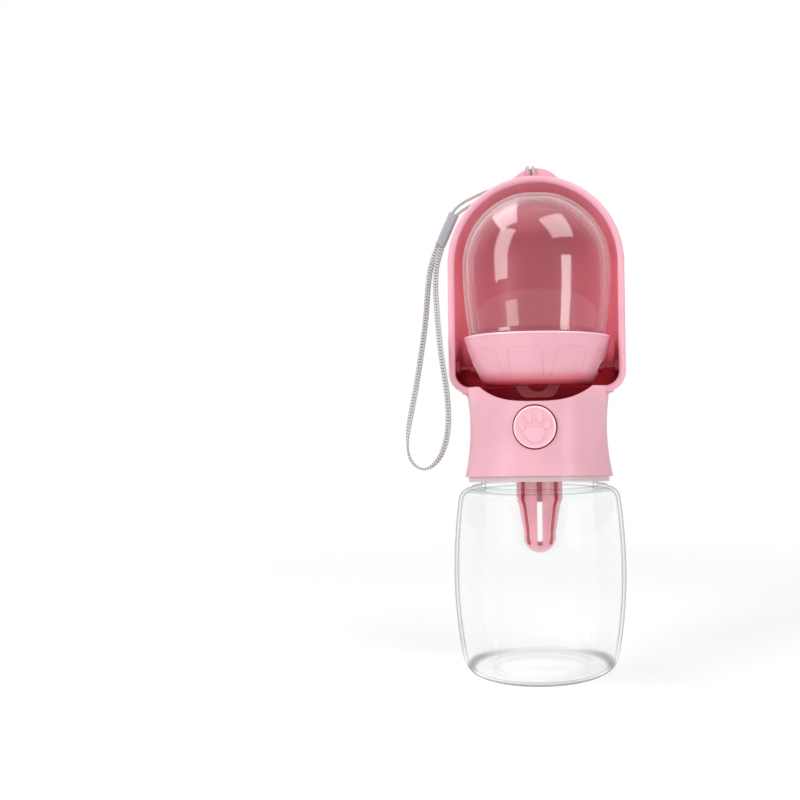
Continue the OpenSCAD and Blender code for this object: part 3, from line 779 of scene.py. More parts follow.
@dataclass
class Bottle:
    """The clear barrel and the seals on its neck. A span's second value is where its effect is whole.

    Attributes:
        clear: The barrel's plastic.
        foot_reach: Span from the axis over which the base turns up into the foot.
        foot: Painted shade that greys the foot.
        green: The slightly green, thick neck.
        unbent_rise: Span of heights over which more light passes unbent.
        edge_turn: How far along itself the wall is seen where its painted dark edge line starts and is whole.
        edge_rise: Span of heights over which that edge comes up to its full strength.
        foot_shade_reach, foot_shade_rise, foot_shade_turn: The same for the painted shade of the dark
        crescent round the foot.
        ring_inner, ring_outer, ring_rise: Inner and outer spans and heights of the dark ring painted under
            the neck.
        step_r: Radius of the step in the base.
        step_near, step_rise: Span of distances from that step over which a dark line is painted, and span of
            heights.
        edge_shade_share, foot_shade_share, ring_shade_share, step_shade_share: Share of the grey film, the
        painted shade, at its strongest on each of these.
        unbent: Share of the light that passes the wall unbent, and neck_unbent what the neck adds.
    """

    clear: ClearPlastic = ClearPlastic(
        "clear_barrel", (0.992, 0.997, 0.995), rim_shade=0.70, film=(0.17, 0.182, 0.178), refraction=1.46
    )
    foot_reach: Span = (27 * MM, 31 * MM)
    foot: Band = Band((0.60, 0.61, 0.615), (8 * MM, 2 * MM))
    green: Band = Band((0.90, 0.97, 0.93), (73 * MM, 77 * MM))
    unbent_rise: Span = (71 * MM, 76 * MM)
    edge_turn: Span = (0.74, 0.88)
    edge_rise: Span = (4 * MM, 14 * MM)
    foot_shade_reach: Span = (27.5 * MM, 30.5 * MM)
    foot_shade_rise: Span = (3.4 * MM, 1.6 * MM)
    foot_shade_turn: Span = (0.28, 0.52)
    ring_inner: Span = (26.4 * MM, 27.2 * MM)
    ring_outer: Span = (30.6 * MM, 29.6 * MM)
    ring_rise: Span = (73 * MM, 75 * MM)
    step_r: float = 20.5 * MM
    step_near: Span = (0.5 * MM, 0.25 * MM)
    step_rise: Span = (9 * MM, 7 * MM)
    edge_shade_share: float = 0.30
    foot_shade_share: float = 0.70
    ring_shade_share: float = 0.14
    step_shade_share: float = 0.08
    unbent: float = 0.90
    neck_unbent: float = 0.05

    def barrel_colour(self, shader: Shader, colour: Colour) -> Signal:
        """Tint the barrel: grey round its foot with painted shade, and a little green in its thick neck.

        Args:
            shader: The shader that is being made.
            colour: The plain tint of its wall.

        Returns:
            The colour over the barrel.
        """
        x, y, z = shader.xyz()
        # Painted shade greys the foot.
        footed = shader.lay(colour, self.foot, z, shader.reach(x, y).ease(*self.foot_reach))
        return shader.lay(footed, self.green, z)

    def unbent_share(self, shader: Shader) -> Signal:
        """Return how much of the light passes straight through: most of it, as the wall is thin."""
        _, _, z = shader.xyz()
        return self.unbent + self.neck_unbent * z.ease(*self.unbent_rise)

    def painted_line_share(self, shader: Shader) -> Signal:
        """Paint grey lines of shade on the wall at its edges, round its foot, and on the rings of its base
        and neck.

        Args:
            shader: The shader that is being made.

        Returns:
            The share of the grey film, the painted shade, over the barrel.
        """
        x, y, z = shader.xyz()
        along_wall = shader.facing()
        reach = shader.reach(x, y)
        edges = along_wall.ease(*self.edge_turn) * (0.4 + 0.6 * z.ease(*self.edge_rise))
        foot = along_wall.ease(*self.foot_shade_turn) * z.ease(*self.foot_shade_rise) * reach.ease(*self.foot_shade_reach)
        ring = reach.ease(*self.ring_inner) * reach.ease(*self.ring_outer) * z.ease(*self.ring_rise)
        step = reach.near(self.step_r, self.step_near) * z.ease(*self.step_rise)
        lines = (self.edge_shade_share * edges).highest(self.foot_shade_share * foot)
        return lines.highest(self.ring_shade_share * ring).highest(self.step_shade_share * step)

    def build(self) -> None:
        """Dress the bottle's nodes."""
        barrel = self.clear.make(self.barrel_colour, self.unbent_share, self.painted_line_share)
        dress_nodes({
            "bottle_body": barrel,
            "neck_gasket": Silicone("neck_silicone", (0.82, 0.80, 0.78)).make(),
            "plug_oring": Silicone("plug_ring_silicone", (0.62, 0.63, 0.62), roughness=0.35).make(),
        })


@dataclass(frozen=True)
class CoilSpring:
    """A coil spring, modelled at its full length.

    Attributes:
        node: The CAD node that it stands for.
        joint: The joint that would shorten it; not used.
        along: Its own axis, 1 for Y and 2 for Z.
        coil_r: Radius of its coil.
        wire_r: Radius of its wire.
        travel: How much it would shorten; not used.
        turns: Number of its turns.
        wire_sides: Points round the wire.
        turn_steps: Steps in a turn.
    """

    node: str
    joint: str
    along: int
    coil_r: float
    wire_r: float
    travel: float
    turns: int = 4
    wire_sides: int = 12
    turn_steps: int = 28

    def coil(self, length: float) -> bpy.types.Object:
        """Model the coil upright, from the middle of its first turn's wire.

        Args:
            length: Its length over the wire.

        Returns:
            The coil.
        """
        select_only()
        bpy.ops.mesh.primitive_circle_add(
            vertices=self.wire_sides, radius=self.wire_r,
            location=(self.coil_r, 0, 0), rotation=(math.pi / 2, 0, 0),
        )
        coil = name_active(self.node + "_coil")
        settle(coil)
        screw = coil.modifiers.new("turns", "SCREW")
        screw.iterations = self.turns
        screw.screw_offset = (length - 2 * self.wire_r) / self.turns
        screw.steps = screw.render_steps = self.turn_steps
        settle(coil)
        face_outwards(coil)
        return coil

    def build(self, steel: bpy.types.Material) -> None:
        """Put the spring between its seats.

        Args:
            steel: Its material.
        """
        low, high = (Vector(corner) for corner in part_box(self.node))
        length = high[self.along] - low[self.along]
        coil = self.coil(length)
        coil.location = (low + high) / 2
        coil.location[self.along] = low[self.along] + self.wire_r
        if self.along == 1:
            coil.rotation_euler = (-math.pi / 2, 0, 0)
        settle(coil)
        smooth(coil, angle=50)
        give(coil, steel)
        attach(coil, "head")
        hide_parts(self.node)
        anchor = (low + high) / 2
        anchor[self.along] = high[self.along]
        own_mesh(coil)
        LOG.info("piece %s", coil.name)


@dataclass
class Head:
    """The hood with its neck, the screw sleeve and the water way inside.

    A span's second value is where its effect is whole.

    Attributes:
        hood_axis_y: Where the hood's own upright axis stands.
        hood_middle: Height of the middle of its round top.
        corner_reach: How far from that axis the hood's lower corners turn.
        corner_z: Height at which they turn.
        wall_span: Span across the wall's middle, from the turn of a corner.
        off_wall_span: Span from the wall's inner face inwards.
        rim_span: Span from the front of the rim to the back of its rounding.
        rim_front: Span just before the rim's front.
        bore_span: Span across the middle of the neck's wall, from the bottle's axis.
        hole_depth: Span behind the shell's front where the button's hole lies.
        button_z: Height of the button's middle.
        hole_shade, neck: Painted shade: dark red round that hole's edge, and a darker pink on the outside of
            the neck below the hood.
        well: The painted shade of the neck's inside.
        top, low: Painted shade at the upper and lower ends of the hood's hollow, lighter at the top and dark
            red below.
        back: Painted shade at its back, which grows deeper over back_depth.
    """

    hood_axis_y: float = -5 * MM
    hood_middle: float = 173.5 * MM
    corner_reach: float = 28.6 * MM
    corner_z: float = 127.5 * MM
    wall_span: Span = (8.0 * MM, 7.4 * MM)
    off_wall_span: Span = (6.4 * MM, 5.9 * MM)
    rim_span: Span = (-9.4 * MM, -6.5 * MM)
    rim_front: Span = (-9.9 * MM, -9.6 * MM)
    bore_span: Span = (27.9 * MM, 27.3 * MM)
    hole_depth: Span = (-24 * MM, -25 * MM)
    button_z: float = 104.4 * MM
    back_depth: Span = (2 * MM, 20 * MM)
    hole_shade: Band = Band(GAP_SHADE_RED, (9.24 * MM, 9.08 * MM))
    neck: Band = Band((0.80, 0.425, 0.50), (121 * MM, 112 * MM))
    well: Band = Band(WELL_SHADE_RED, (124 * MM, 120 * MM))
    top: Band = Band(SHADE_PINK, (178 * MM, 200 * MM))
    back: Band = Band(BACK_SHADE_PINK, (206 * MM, 190 * MM))
    low: Band = Band(WELL_SHADE_RED, (140 * MM, 127 * MM))
    shell: Moulding = Moulding("pink_shell", PINK, roughness=0.36, gloss=0.12, shine=0.3)

    def in_hood(self, shader: Shader, x: Signal, y: Signal, z: Signal) -> Signal:
        """Find the hood's inside, from the middle of its wall inwards and behind its rim.

        Args:
            shader: The shader that is being made.
            x: Place across.
            y: Depth.
            z: Height.

        Returns:
            1 inside the hood and 0 outside.
        """
        behind = (y - self.hood_axis_y).highest(0.0)
        above = (z - self.hood_middle).highest(0.0)
        sideways = (shader.reach(x, behind, above) - self.corner_reach).highest(0.0)
        from_turn = shader.reach(sideways, 0.0, (self.corner_z - z).highest(0.0))
        off_wall = from_turn.ease(*self.off_wall_span) * y.ease(*self.rim_front)
        return from_turn.ease(*self.wall_span) * y.ease(*self.rim_span).highest(off_wall)

    def shell_colour(self, shader: Shader, colour: Colour) -> Signal:
        """Colour the shell with painted shade: deeper in the hood, darkest in the well under the cup, and
        darker round the button's hole and on the neck.

        Args:
            shader: The shader that is being made.
            colour: The plain colour outside.

        Returns:
            The colour over the shell.
        """
        x, y, z = shader.xyz()
        # Painted shade inside the hood: deeper pink, lighter at its top, darker at its back and dark red low
        # down.
        hollow = shader.lay(HOLLOW_SHADE_PINK, self.top, z)
        hollow = shader.lay(hollow, self.back, z, y.ease(*self.back_depth))
        hollow = shader.lay(hollow, self.low, z)
        from_button = shader.reach(x, 0.0, z - self.button_z)
        # Painted shade: the neck below the hood darker, and the edge of the button's hole dark red.
        outside = shader.lay(colour, self.neck, z)
        outside = shader.lay(outside, self.hole_shade, from_button, y.ease(*self.hole_depth))
        hooded = shader.blend(outside, hollow, self.in_hood(shader, x, y, z))
        return shader.lay(hooded, self.well, z, shader.reach(x, y).ease(*self.bore_span))

    def build(self) -> None:
        """Dress the head's nodes, and model its springs."""
        steel = Steel("stainless_steel").make()
        rubber = Silicone("black_rubber", (0.03, 0.03, 0.032), roughness=0.42).make()
        pale = Moulding("pale_moulding", (0.86, 0.66, 0.66), roughness=0.34).make()
        # Painted shade: the hinge pins and the button's guide are dark red so that they read as shade.
        pin = Moulding("pin_moulding", WELL_SHADE_RED, roughness=0.35, gloss=0.2).make()
        dress_nodes({
            "head_shell": self.shell.make(self.shell_colour),
            "thread_sleeve": Moulding(
                "collar_moulding", (0.68, 0.515, 0.51), roughness=0.36, gloss=0.2
            ).make(),
            "bulkhead": pale,
            "valve_chamber": pale,
            "chamber_screws": steel,
            # Painted shade: the valve deck in the well is dark red.
            "valve_deck": Moulding("deck_moulding", WELL_SHADE_RED, roughness=0.5, gloss=0.0, shine=0.0).make(),
            "outlet_nozzle": Silicone("nozzle_silicone", (0.42, 0.05, 0.08)).make(),
            "valve_seal": Silicone("seal_silicone", (0.80, 0.79, 0.77)).make(),
            "valve_stem": pale,
            "lift_pin": steel,
            "stem_oring": rubber,
            "button_guide": pin,
            "hinge_pin_left": pin,
            "hinge_pin_right": pin,
        })
        CoilSpring(
            "button_spring", "button_press", along=1, coil_r=6.4 * MM, wire_r=0.45 * MM, travel=2.4 * MM
        ).build(steel)
        CoilSpring(
            "valve_spring", "valve_open", along=2, coil_r=4 * MM, wire_r=0.4 * MM, travel=1.6 * MM
        ).build(steel)


@dataclass
class PushButton:
    """The push button and the raised paw on its face.

    Attributes:
        face_y: Where the button's face lies.
        middle_z: Height of its middle.
        rise: How far the paw stands out.
        edge_r: Rounding of the paw's edges.
        toes: Place, half sizes and lean in degrees of each toe, in millimetres from the middle.
        heel_z: Height of the large pad from the middle, in millimetres.
        heel_r: Its plain radius, in millimetres.
        heel_lobe: How far its three lobes stand out, in millimetres.
        heel_taper: How much narrower it is above, in millimetres.
        heel_w, heel_h: Stretch of the large pad across and upwards.
        edge: A painted highlight on its rounded edge, by the distance from its middle.
        side: Painted shade, deep red on its side, by the depth.
    """

    face_y: float = -30.3 * MM
    middle_z: float = 104.4 * MM
    rise: float = 0.36 * MM
    edge_r: float = 0.24 * MM
    toes: tuple[tuple[float, float, float, float, float], ...] = (
        (-5.2, 0.3, 1.25, 1.8, 24.0),
        (-2.2, 3.7, 1.35, 2.05, 8.0),
        (2.1, 3.9, 1.35, 2.05, -8.0),
        (5.2, 0.8, 1.25, 1.8, -24.0),
    )
    heel_z: float = -2.7
    heel_r: float = 3.5
    heel_lobe: float = 0.35
    heel_taper: float = 0.25
    heel_w: float = 1.22
    heel_h: float = 0.86
    edge: Band = Band((1.0, 0.66, 0.72), (7.7 * MM, 8.0 * MM))
    side: Band = Band(WELL_SHADE_RED, (-29.5 * MM, -29.2 * MM))
    plastic: Moulding = Moulding("button_moulding", (0.885, 0.455, 0.54), roughness=0.28, gloss=0.4)

    def disc(self, x: float, z: float, sides: int) -> bpy.types.Object:
        """Add a disc of one millimetre's radius in the button's face.

        Args:
            x: Its place across, from the button's middle, in millimetres.
            z: Its height from the button's middle, in millimetres.
            sides: Points round it.

        Returns:
            The disc, with its origin in its own middle.
        """
        select_only()
        bpy.ops.mesh.primitive_cylinder_add(
            vertices=sides, radius=MM, depth=2 * self.rise,
            location=(x * MM, self.face_y, self.middle_z + z * MM), rotation=(math.pi / 2, 0, 0),
        )
        pad = name_active("pad")
        select_only(pad)
        bpy.ops.object.transform_apply(location=False, rotation=True, scale=False)
        return pad

    def toe(self, x: float, z: float, half_w: float, half_h: float, lean: float) -> bpy.types.Object:
        """Model one oval pad with a rounded edge.

        Args:
            x: Its place across, from the button's middle, in millimetres.
            z: Its height from the button's middle, in millimetres.
            half_w: Half its width, in millimetres.
            half_h: Half its height, in millimetres.
            lean: How far it leans to the left, in degrees.

        Returns:
            The pad.
        """
        pad = self.disc(x, z, sides=40)
        pad.scale = (half_w, 1, half_h)
        pad.rotation_euler = (0, math.radians(-lean), 0)
        bpy.ops.object.transform_apply(location=False, rotation=True, scale=True)
        self.round_edge(pad)
        return pad

    def heel(self) -> bpy.types.Object:
        """Model the large pad, wide below, with three soft lobes.

        Returns:
            The pad.
        """
        pad = self.disc(0.0, self.heel_z, sides=72)
        for vertex in pad.data.vertices:
            turn = math.atan2(vertex.co.z, vertex.co.x)
            lobes = self.heel_lobe * math.cos(3 * (turn + math.pi / 2))
            reach = self.heel_r + lobes - self.heel_taper * math.sin(turn)
            vertex.co.x = reach * math.cos(turn) * self.heel_w * MM
            vertex.co.z = reach * math.sin(turn) * self.heel_h * MM
        self.round_edge(pad)
        return pad

    def round_edge(self, pad: bpy.types.Object) -> None:
        """Round a pad's edges with a bevel, and put its place into its mesh.

        Args:
            pad: The pad.
        """
        rounding = pad.modifiers.new("round", "BEVEL")
        rounding.width = self.edge_r
        rounding.segments = 4
        rounding.limit_method = "ANGLE"
        settle(pad)

    def side_colour(self, shader: Shader, colour: Colour) -> Signal:
        """Colour the button: a painted highlight where its edge is rounded, and deep red painted shade on its
        side behind that.

        Args:
            shader: The shader that is being made.
            colour: The plain colour of its face.

        Returns:
            The colour over the button.
        """
        x, y, z = shader.xyz()
        # Painted highlight on the rounded edge, then painted shade on the side.
        highlighted = shader.lay(colour, self.edge, shader.reach(x, 0.0, z - self.middle_z))
        return shader.lay(highlighted, self.side, y)

    def build(self) -> None:
        """Dress the button and model its paw."""
        dress_nodes({"push_button": self.plastic.make(self.side_colour)})
        paw = join("button_paw", [self.heel(), *(self.toe(*toe) for toe in self.toes)])
        smooth(paw, angle=50)
        give(paw, Moulding("paw_moulding", (0.905, 0.485, 0.565), roughness=0.28, gloss=0.4).make())
        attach(paw, "button")
        LOG.info("piece %s", paw.name)


@dataclass
class FilterUnit:
    """The slotted cage, its cartridge and the ring that holds it.

    Attributes:
        cage: The cage's plastic.
        wall: Painted shade, deep red on the walls of its slots, by how far a surface looks along the cage's
            round.
    """

    cage: Moulding = Moulding("cage_moulding", (0.86, 0.36, 0.44), roughness=0.3, gloss=0.3)
    wall: Band = Band((0.85, 0.045, 0.085), (0.35, 0.7))

    def slot_colour(self, shader: Shader, colour: Colour) -> Signal:
        """Colour the cage with painted shade, deep red on the walls of its slots.

        Args:
            shader: The shader that is being made.
            colour: The plain colour outside.

        Returns:
            The colour over the cage.
        """
        x, y, _ = shader.xyz()
        nx, ny, _ = shader.axes(shader.read("ShaderNodeTexCoord", out="Normal"))
        along = ((x * ny - y * nx) / shader.reach(x, y)).math("ABSOLUTE")
        # Painted shade on the slot walls.
        return shader.lay(colour, self.wall, along)

    def build(self) -> None:
        """Dress the filter's nodes."""
        dress_nodes({
            "filter_cage": self.cage.make(self.slot_colour),
            "filter_cartridge": Felt("filter_felt", (0.90, 0.35, 0.40)).make(),
            "filter_oring": Silicone("cage_ring_rubber", (0.30, 0.29, 0.29), roughness=0.42).make(),
        })


@dataclass
class DrinkingCup:
    """The trough with its embossed panels, and the clear dome over it.

    Attributes:
        arc_r: Radius of the arc that the trough's side follows.
        arc_x: Distance of that arc's middle from the cup's axis.
        arc_z: Height of that arc's middle.
        first: Turn of the panel nearest the front, in degrees from the front.
        step: Turn from one panel to the next, in degrees.
        top_z: Height of a panel's upper edge.
        foot_z: Height at which its sides end.
        top_half: Half its turn at the top, in degrees.
        foot_half: Half its turn at the foot, in degrees.
        corner: Rounding of its upper corners.
        line_r: Half the width of the raised line.
        line_back: Depth behind which no line is raised.
        line_points: Points that a line has at least.
        proud_span: Distances out of the trough's side over which its ears turn the deep red of painted shade.
        ears_low, ears_high: Heights over which that starts and ends.
        lip, foot, tab: A painted highlight on the trough's upper edge, and painted shade under its rounded
            foot and on its tab.
        dome_fall: Heights over which the dome's foot grows deeper.
        thick_shade: How much of its colour is left there.
        unbent: Share of the light that passes the dome unbent where its wall is seen along itself.
        unbent_turn: How far along itself it is seen where that starts and is whole.
        bloom, sheen_turn: The same for its whitish edge, a painted reflection.
    """

    arc_r: float = 70 * MM
    arc_x: float = -36.3 * MM
    arc_z: float = 158.81 * MM
    first: float = -7.5
    step: float = 38.5
    top_z: float = 137.0 * MM
    foot_z: float = 125.4 * MM
    top_half: float = 14.0
    foot_half: float = 15.5
    corner: float = 3.2 * MM
    line_r: float = 0.16 * MM
    line_back: float = 2.4 * MM
    line_points: int = 8
    proud_span: Span = (0.15 * MM, 0.35 * MM)
    ears_low: Span = (125.5 * MM, 126.0 * MM)
    ears_high: Span = (134.5 * MM, 133.5 * MM)
    lip_highlight: Band = Band((1.0, 0.62, 0.70), (141.9 * MM, 142.3 * MM))
    foot: Band = Band((0.70, 0.08, 0.12), (128.6 * MM, 122.2 * MM), 0.88)
    tab: Band = Band((1.0, 0.18, 0.22), (122.0 * MM, 121.6 * MM))
    dome_fall: Span = (146 * MM, 142 * MM)
    thick_shade: float = 0.93
    unbent: float = 0.92
    unbent_turn: Span = (0.35, 0.62)
    bloom: float = 0.34
    sheen_turn: Span = (0.45, 0.95)
    plastic: Moulding = Moulding("trough_moulding", (0.86, 0.425, 0.51), roughness=0.36, gloss=0.25)
    clear: ClearPlastic = ClearPlastic("clear_dome", (0.975, 0.955, 0.965), rim_shade=0.92)

    def side_r(self, z: float) -> float:
        """Return the trough's outer radius at a height."""
        return self.arc_x + math.sqrt(self.arc_r**2 - (z - self.arc_z) ** 2)

    def on_side(self, turn: float, z: float) -> Vector:
        """Return the point of the trough's side at a turn in degrees from the front and a height."""
        angle, reach = math.radians(turn), self.side_r(z)
        return Vector((reach * math.sin(angle), -reach * math.cos(angle), z))

    def panel_line(self, middle: float, steps: int = 6, top_steps: int = 4) -> list[Vector]:
        """Return the line of one panel: up a side, round the top and down the other side.

        Args:
            middle: Turn of the panel's middle, in degrees from the front.
            steps: Stretches up a side, and round a corner.
            top_steps: Stretches from a corner to the middle of the top.

        Returns:
            The line's points.
        """
        corner_turn = math.degrees(self.corner / self.side_r(self.top_z))
        half = []
        for i in range(steps + 1):
            share = i / steps
            z = self.foot_z + (self.top_z - self.corner - self.foot_z) * share
            half.append((self.foot_half + (self.top_half - self.foot_half) * share, z))
        for i in range(1, steps + 1):
            turn = math.pi / 2 * i / steps
            across = self.top_half - corner_turn * (1 - math.cos(turn))
            half.append((across, self.top_z - self.corner * (1 - math.sin(turn))))
        straight = half[-1][0]
        for i in range(1, top_steps + 1):
            half.append((straight * (1 - i / top_steps), self.top_z))
        whole = [(-turn, z) for turn, z in half] + [(turn, z) for turn, z in reversed(half[:-1])]
        return [self.on_side(middle + turn, z) for turn, z in whole]

    def line_face(self, share: float, ahead: Vector) -> Vector:
        """Return a way near the front, at any place of a line, as it is round and any one does."""
        return Vector((0, -1, 0.01))

    def panels(self) -> bpy.types.Object:
        """Model the raised lines of the panels.

        Returns:
            The lines as one piece.
        """
        parts = []
        for k in range(-2, 3):
            middle = self.first + k * self.step
            line = [point for point in self.panel_line(middle) if point.y < self.line_back]
            if len(line) >= self.line_points:
                sweep = Sweep(line, 2 * self.line_r, 2 * self.line_r, self.line_face, sides=8)
                parts.append(sweep.make("panel"))
        return join("trough_panels", parts)

    def foot_colour(self, shader: Shader, colour: Colour) -> Signal:
        """Colour the trough: a painted highlight on its edge, painted shade under its rounded foot, red
        painted shade on its tab and dark red on its ears.

        Args:
            shader: The shader that is being made.
            colour: The plain colour of its side.

        Returns:
            The colour over the trough.
        """
        x, y, z = shader.xyz()
        drop = z - self.arc_z
        side = (self.arc_r**2 - drop * drop).math("SQRT") + self.arc_x
        proud = (shader.reach(x, y) - side).ease(*self.proud_span)
        ears = proud * z.ease(*self.ears_high) * z.ease(*self.ears_low)
        # Painted highlight on the lip, painted shade under the foot, on the tab and on the ears.
        for band in (self.lip_highlight, self.foot, self.tab):
            colour = shader.lay(colour, band, z)
        return shader.blend(colour, WELL_SHADE_RED, ears)

    def dome_colour(self, shader: Shader, colour: Colour) -> Signal:
        """Return the colour seen through the dome, a little deeper in its thick foot."""
        _, _, z = shader.xyz()
        return shader.blend(colour, shade(colour, self.thick_shade), z.ease(*self.dome_fall))

    def rim_share(self, shader: Shader) -> Signal:
        """Return how much light passes the dome unbent: most of it where its wall is seen along itself."""
        return self.unbent * shader.facing().ease(*self.unbent_turn)

    def painted_sheen_share(self, shader: Shader) -> Signal:
        """Return how much a whitish painted reflection shows where the dome's wall is seen along itself."""
        return self.bloom * shader.facing().ease(*self.sheen_turn)

    def build(self) -> None:
        """Dress the cup's nodes and model its panels."""
        plastic = self.plastic.make(self.foot_colour)
        dress_nodes({
            "drinking_trough": plastic,
            "dome_seal": Silicone("dome_seal_silicone", (0.30, 0.10, 0.13), roughness=0.4).make(),
            "dome_window": self.clear.make(self.dome_colour, self.rim_share, self.painted_sheen_share),
        })
        lines = self.panels()
        give(lines, plastic)
        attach(lines, "cup")
        LOG.info("piece %s", lines.name)


def in_metres(points: Iterable[Sequence[float]]) -> list[Vector]:
    """Turn points in millimetres into vectors in metres."""
    return [Vector(point) * MM for point in points]


CORD_ROUTE = (
    (-36.3, -3.0, 196.9), (-34.4, -2.4, 199.6), (-31.2, -1.4, 202.2), (-27.6, 0.0, 204.4),
    (-23.8, 1.6, 206.6), (-19.8, 3.2, 208.6), (-15.6, 4.6, 210.4), (-11.4, 5.8, 212.0),
    (-7.6, 6.4, 213.6), (-5.2, 5.6, 215.6), (-4.0, 3.8, 217.2), (-3.6, 1.6, 217.5),
    (-3.3, -0.4, 216.6), (-3.0, -1.0, 214.0), (-2.7, 0.0, 212.0), (-2.4, 2.2, 211.7),
    (-2.1, 4.4, 212.4), (-1.8, 5.2, 214.4), (-1.5, 4.2, 216.7), (-1.2, 2.0, 217.5),
    (-0.9, -0.4, 216.6), (-0.6, -1.0, 214.2), (-0.5, -0.2, 212.2), (-0.6, 2.0, 211.7),
    (-1.2, 4.6, 211.6), (-3.0, 7.0, 211.4), (-6.2, 8.4, 210.8), (-10.2, 8.6, 209.8),
    (-14.4, 7.6, 208.6), (-18.4, 6.0, 207.2), (-22.2, 4.2, 205.4), (-25.8, 2.4, 203.2),
    (-29.2, 0.6, 200.8), (-32.2, -1.4, 198.4), (-34.7, -3.0, 195.9),
)
STRAP_ROUTE = (
    (-42.2, -3.0, 184.0), (-44.2, -3.0, 178.8), (-46.0, -3.0, 172.8), (-47.0, -3.0, 166.0),
    (-47.6, -3.0, 159.0), (-48.2, -3.0, 152.0), (-49.0, -3.2, 145.0), (-50.0, -3.6, 138.0),
    (-51.0, -4.2, 131.0), (-52.0, -5.0, 124.0), (-53.2, -6.0, 117.0), (-54.4, -7.0, 110.0),
    (-55.4, -8.0, 103.4), (-55.6, -9.0, 97.0), (-54.4, -10.0, 91.4), (-51.2, -10.8, 87.8),
    (-47.2, -11.4, 87.0), (-43.4, -12.0, 89.2), (-40.4, -12.6, 93.4), (-38.4, -13.2, 98.8),
    (-37.4, -13.6, 105.0), (-37.2, -13.8, 111.4), (-37.6, -13.9, 117.8), (-38.4, -13.8, 124.2),
    (-39.4, -13.4, 130.6), (-40.4, -12.6, 137.0), (-41.2, -11.2, 143.2), (-42.0, -9.6, 149.4),
    (-42.6, -8.0, 155.8), (-43.2, -6.4, 162.2), (-43.4, -5.0, 168.4), (-43.0, -4.0, 174.2),
    (-41.8, -3.4, 179.2), (-40.6, -3.0, 183.4),
)


def line_length(line: Sequence[Vector]) -> float:
    """Return a line's length."""
    return sum((line[i + 1] - line[i]).length for i in range(len(line) - 1))


@dataclass
class Lanyard:
    """The thin cord through the hood's loop, the sleeve and the wrist strap.

    Attributes:
        cord_d: Diameter of the thin cord.
        strap_w: Width of the strap.
        strap_t: Thickness of the strap.
        turn_at: Share of the strap's length at which its loop turns back.
        turn_span: Share of its length over which it lies on edge there.
    """

    cord_d: float = 1.2 * MM
    strap_w: float = 2.4 * MM
    strap_t: float = 1.0 * MM
    turn_at: float = 0.47
    turn_span: float = 0.13
    grey: Moulding = Moulding("sleeve_moulding", (0.41, 0.425, 0.46), roughness=0.42, gloss=0.15)

    def strap_face(self, share: float, ahead: Vector) -> Vector:
        """Return the way that the strap's flat side looks.

        Args:
            share: The place along the strap, from 0 to 1.
            ahead: The strap's own way there.

        Returns:
            The way, to the front on the long sides and across the loop where the strap turns back.
        """
        away = min(abs(share - self.turn_at) / self.turn_span, 1.0)
        lie = away * away * (3 - 2 * away)
        front = Vector((0, -1, 0))
        edge = ahead.cross(front)
        return front * lie + edge * (1 - lie)

    def cord(self) -> bpy.types.Object:
        """Model the thin cord.

        Returns:
            The cord.
        """
        line = curve_through(in_metres(CORD_ROUTE), steps=4)
        piece = Sweep(line, self.cord_d, self.cord_d, self.cord_face, sides=12).make("thin_cord")
        braid = Braid(
            "cord_braid", (0.70, 0.69, 0.67), (0.33, 0.32, 0.31),
            pitch=0.7, slant=0.3, columns=4.0, width=2.4,
        )
        give(piece, braid.make())
        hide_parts("carrying_cord")
        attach(piece, "head")
        line_length(line)
        return piece

    def cord_face(self, share: float, ahead: Vector) -> Vector:
        """Return a way square to the cord, which is round, so that any one does."""
        return ahead.cross(Vector((1, 0.2, 0.1)) if abs(ahead.x) < 0.8 else Vector((0, 1, 0)))

    def strap(self) -> bpy.types.Object:
        """Model the wrist strap.

        Returns:
            The strap.
        """
        line = curve_through(in_metres(STRAP_ROUTE), steps=5)
        piece = Sweep(line, self.strap_w, self.strap_t, self.strap_face, sides=20).make("flat_strap")
        give(piece, Braid("strap_braid", (0.68, 0.665, 0.645), (0.22, 0.215, 0.21)).make())
        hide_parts("wrist_strap")
        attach(piece, "head")
        line_length(line)
        return piece

    def build(self) -> None:
        """Model the cord and the strap, and dress the sleeve."""
        for piece in (self.cord(), self.strap()):
            LOG.info("piece %s", piece.name)
        dress_nodes({"strap_sleeve": self.grey.make()})


# ---- studio ----


@dataclass(frozen=True)
class Softbox:
    """A plain square-edged lamp that looks at a point.

    Attributes:
        aim: The point that it looks at.
        glow: The light that leaves each square metre of its face.
    """

    name: str
    place: tuple[float, float, float]
    aim: tuple[float, float, float]
    width: float
    height: float
    glow: float

    def build(self) -> None:
        """Add the lamp."""
        lamp = bpy.data.lights.new(self.name, "AREA")
        lamp.shape = "RECTANGLE"
        lamp.size, lamp.size_y = self.width, self.height
        lamp.energy = self.glow * self.width * self.height * math.pi
        holder = bpy.data.objects.new(self.name, lamp)
        holder.location = self.place
        way = Vector(self.aim) - Vector(self.place)
        holder.rotation_euler = way.to_track_quat("-Z", "Y").to_euler()
        bpy.context.scene.collection.objects.link(holder)


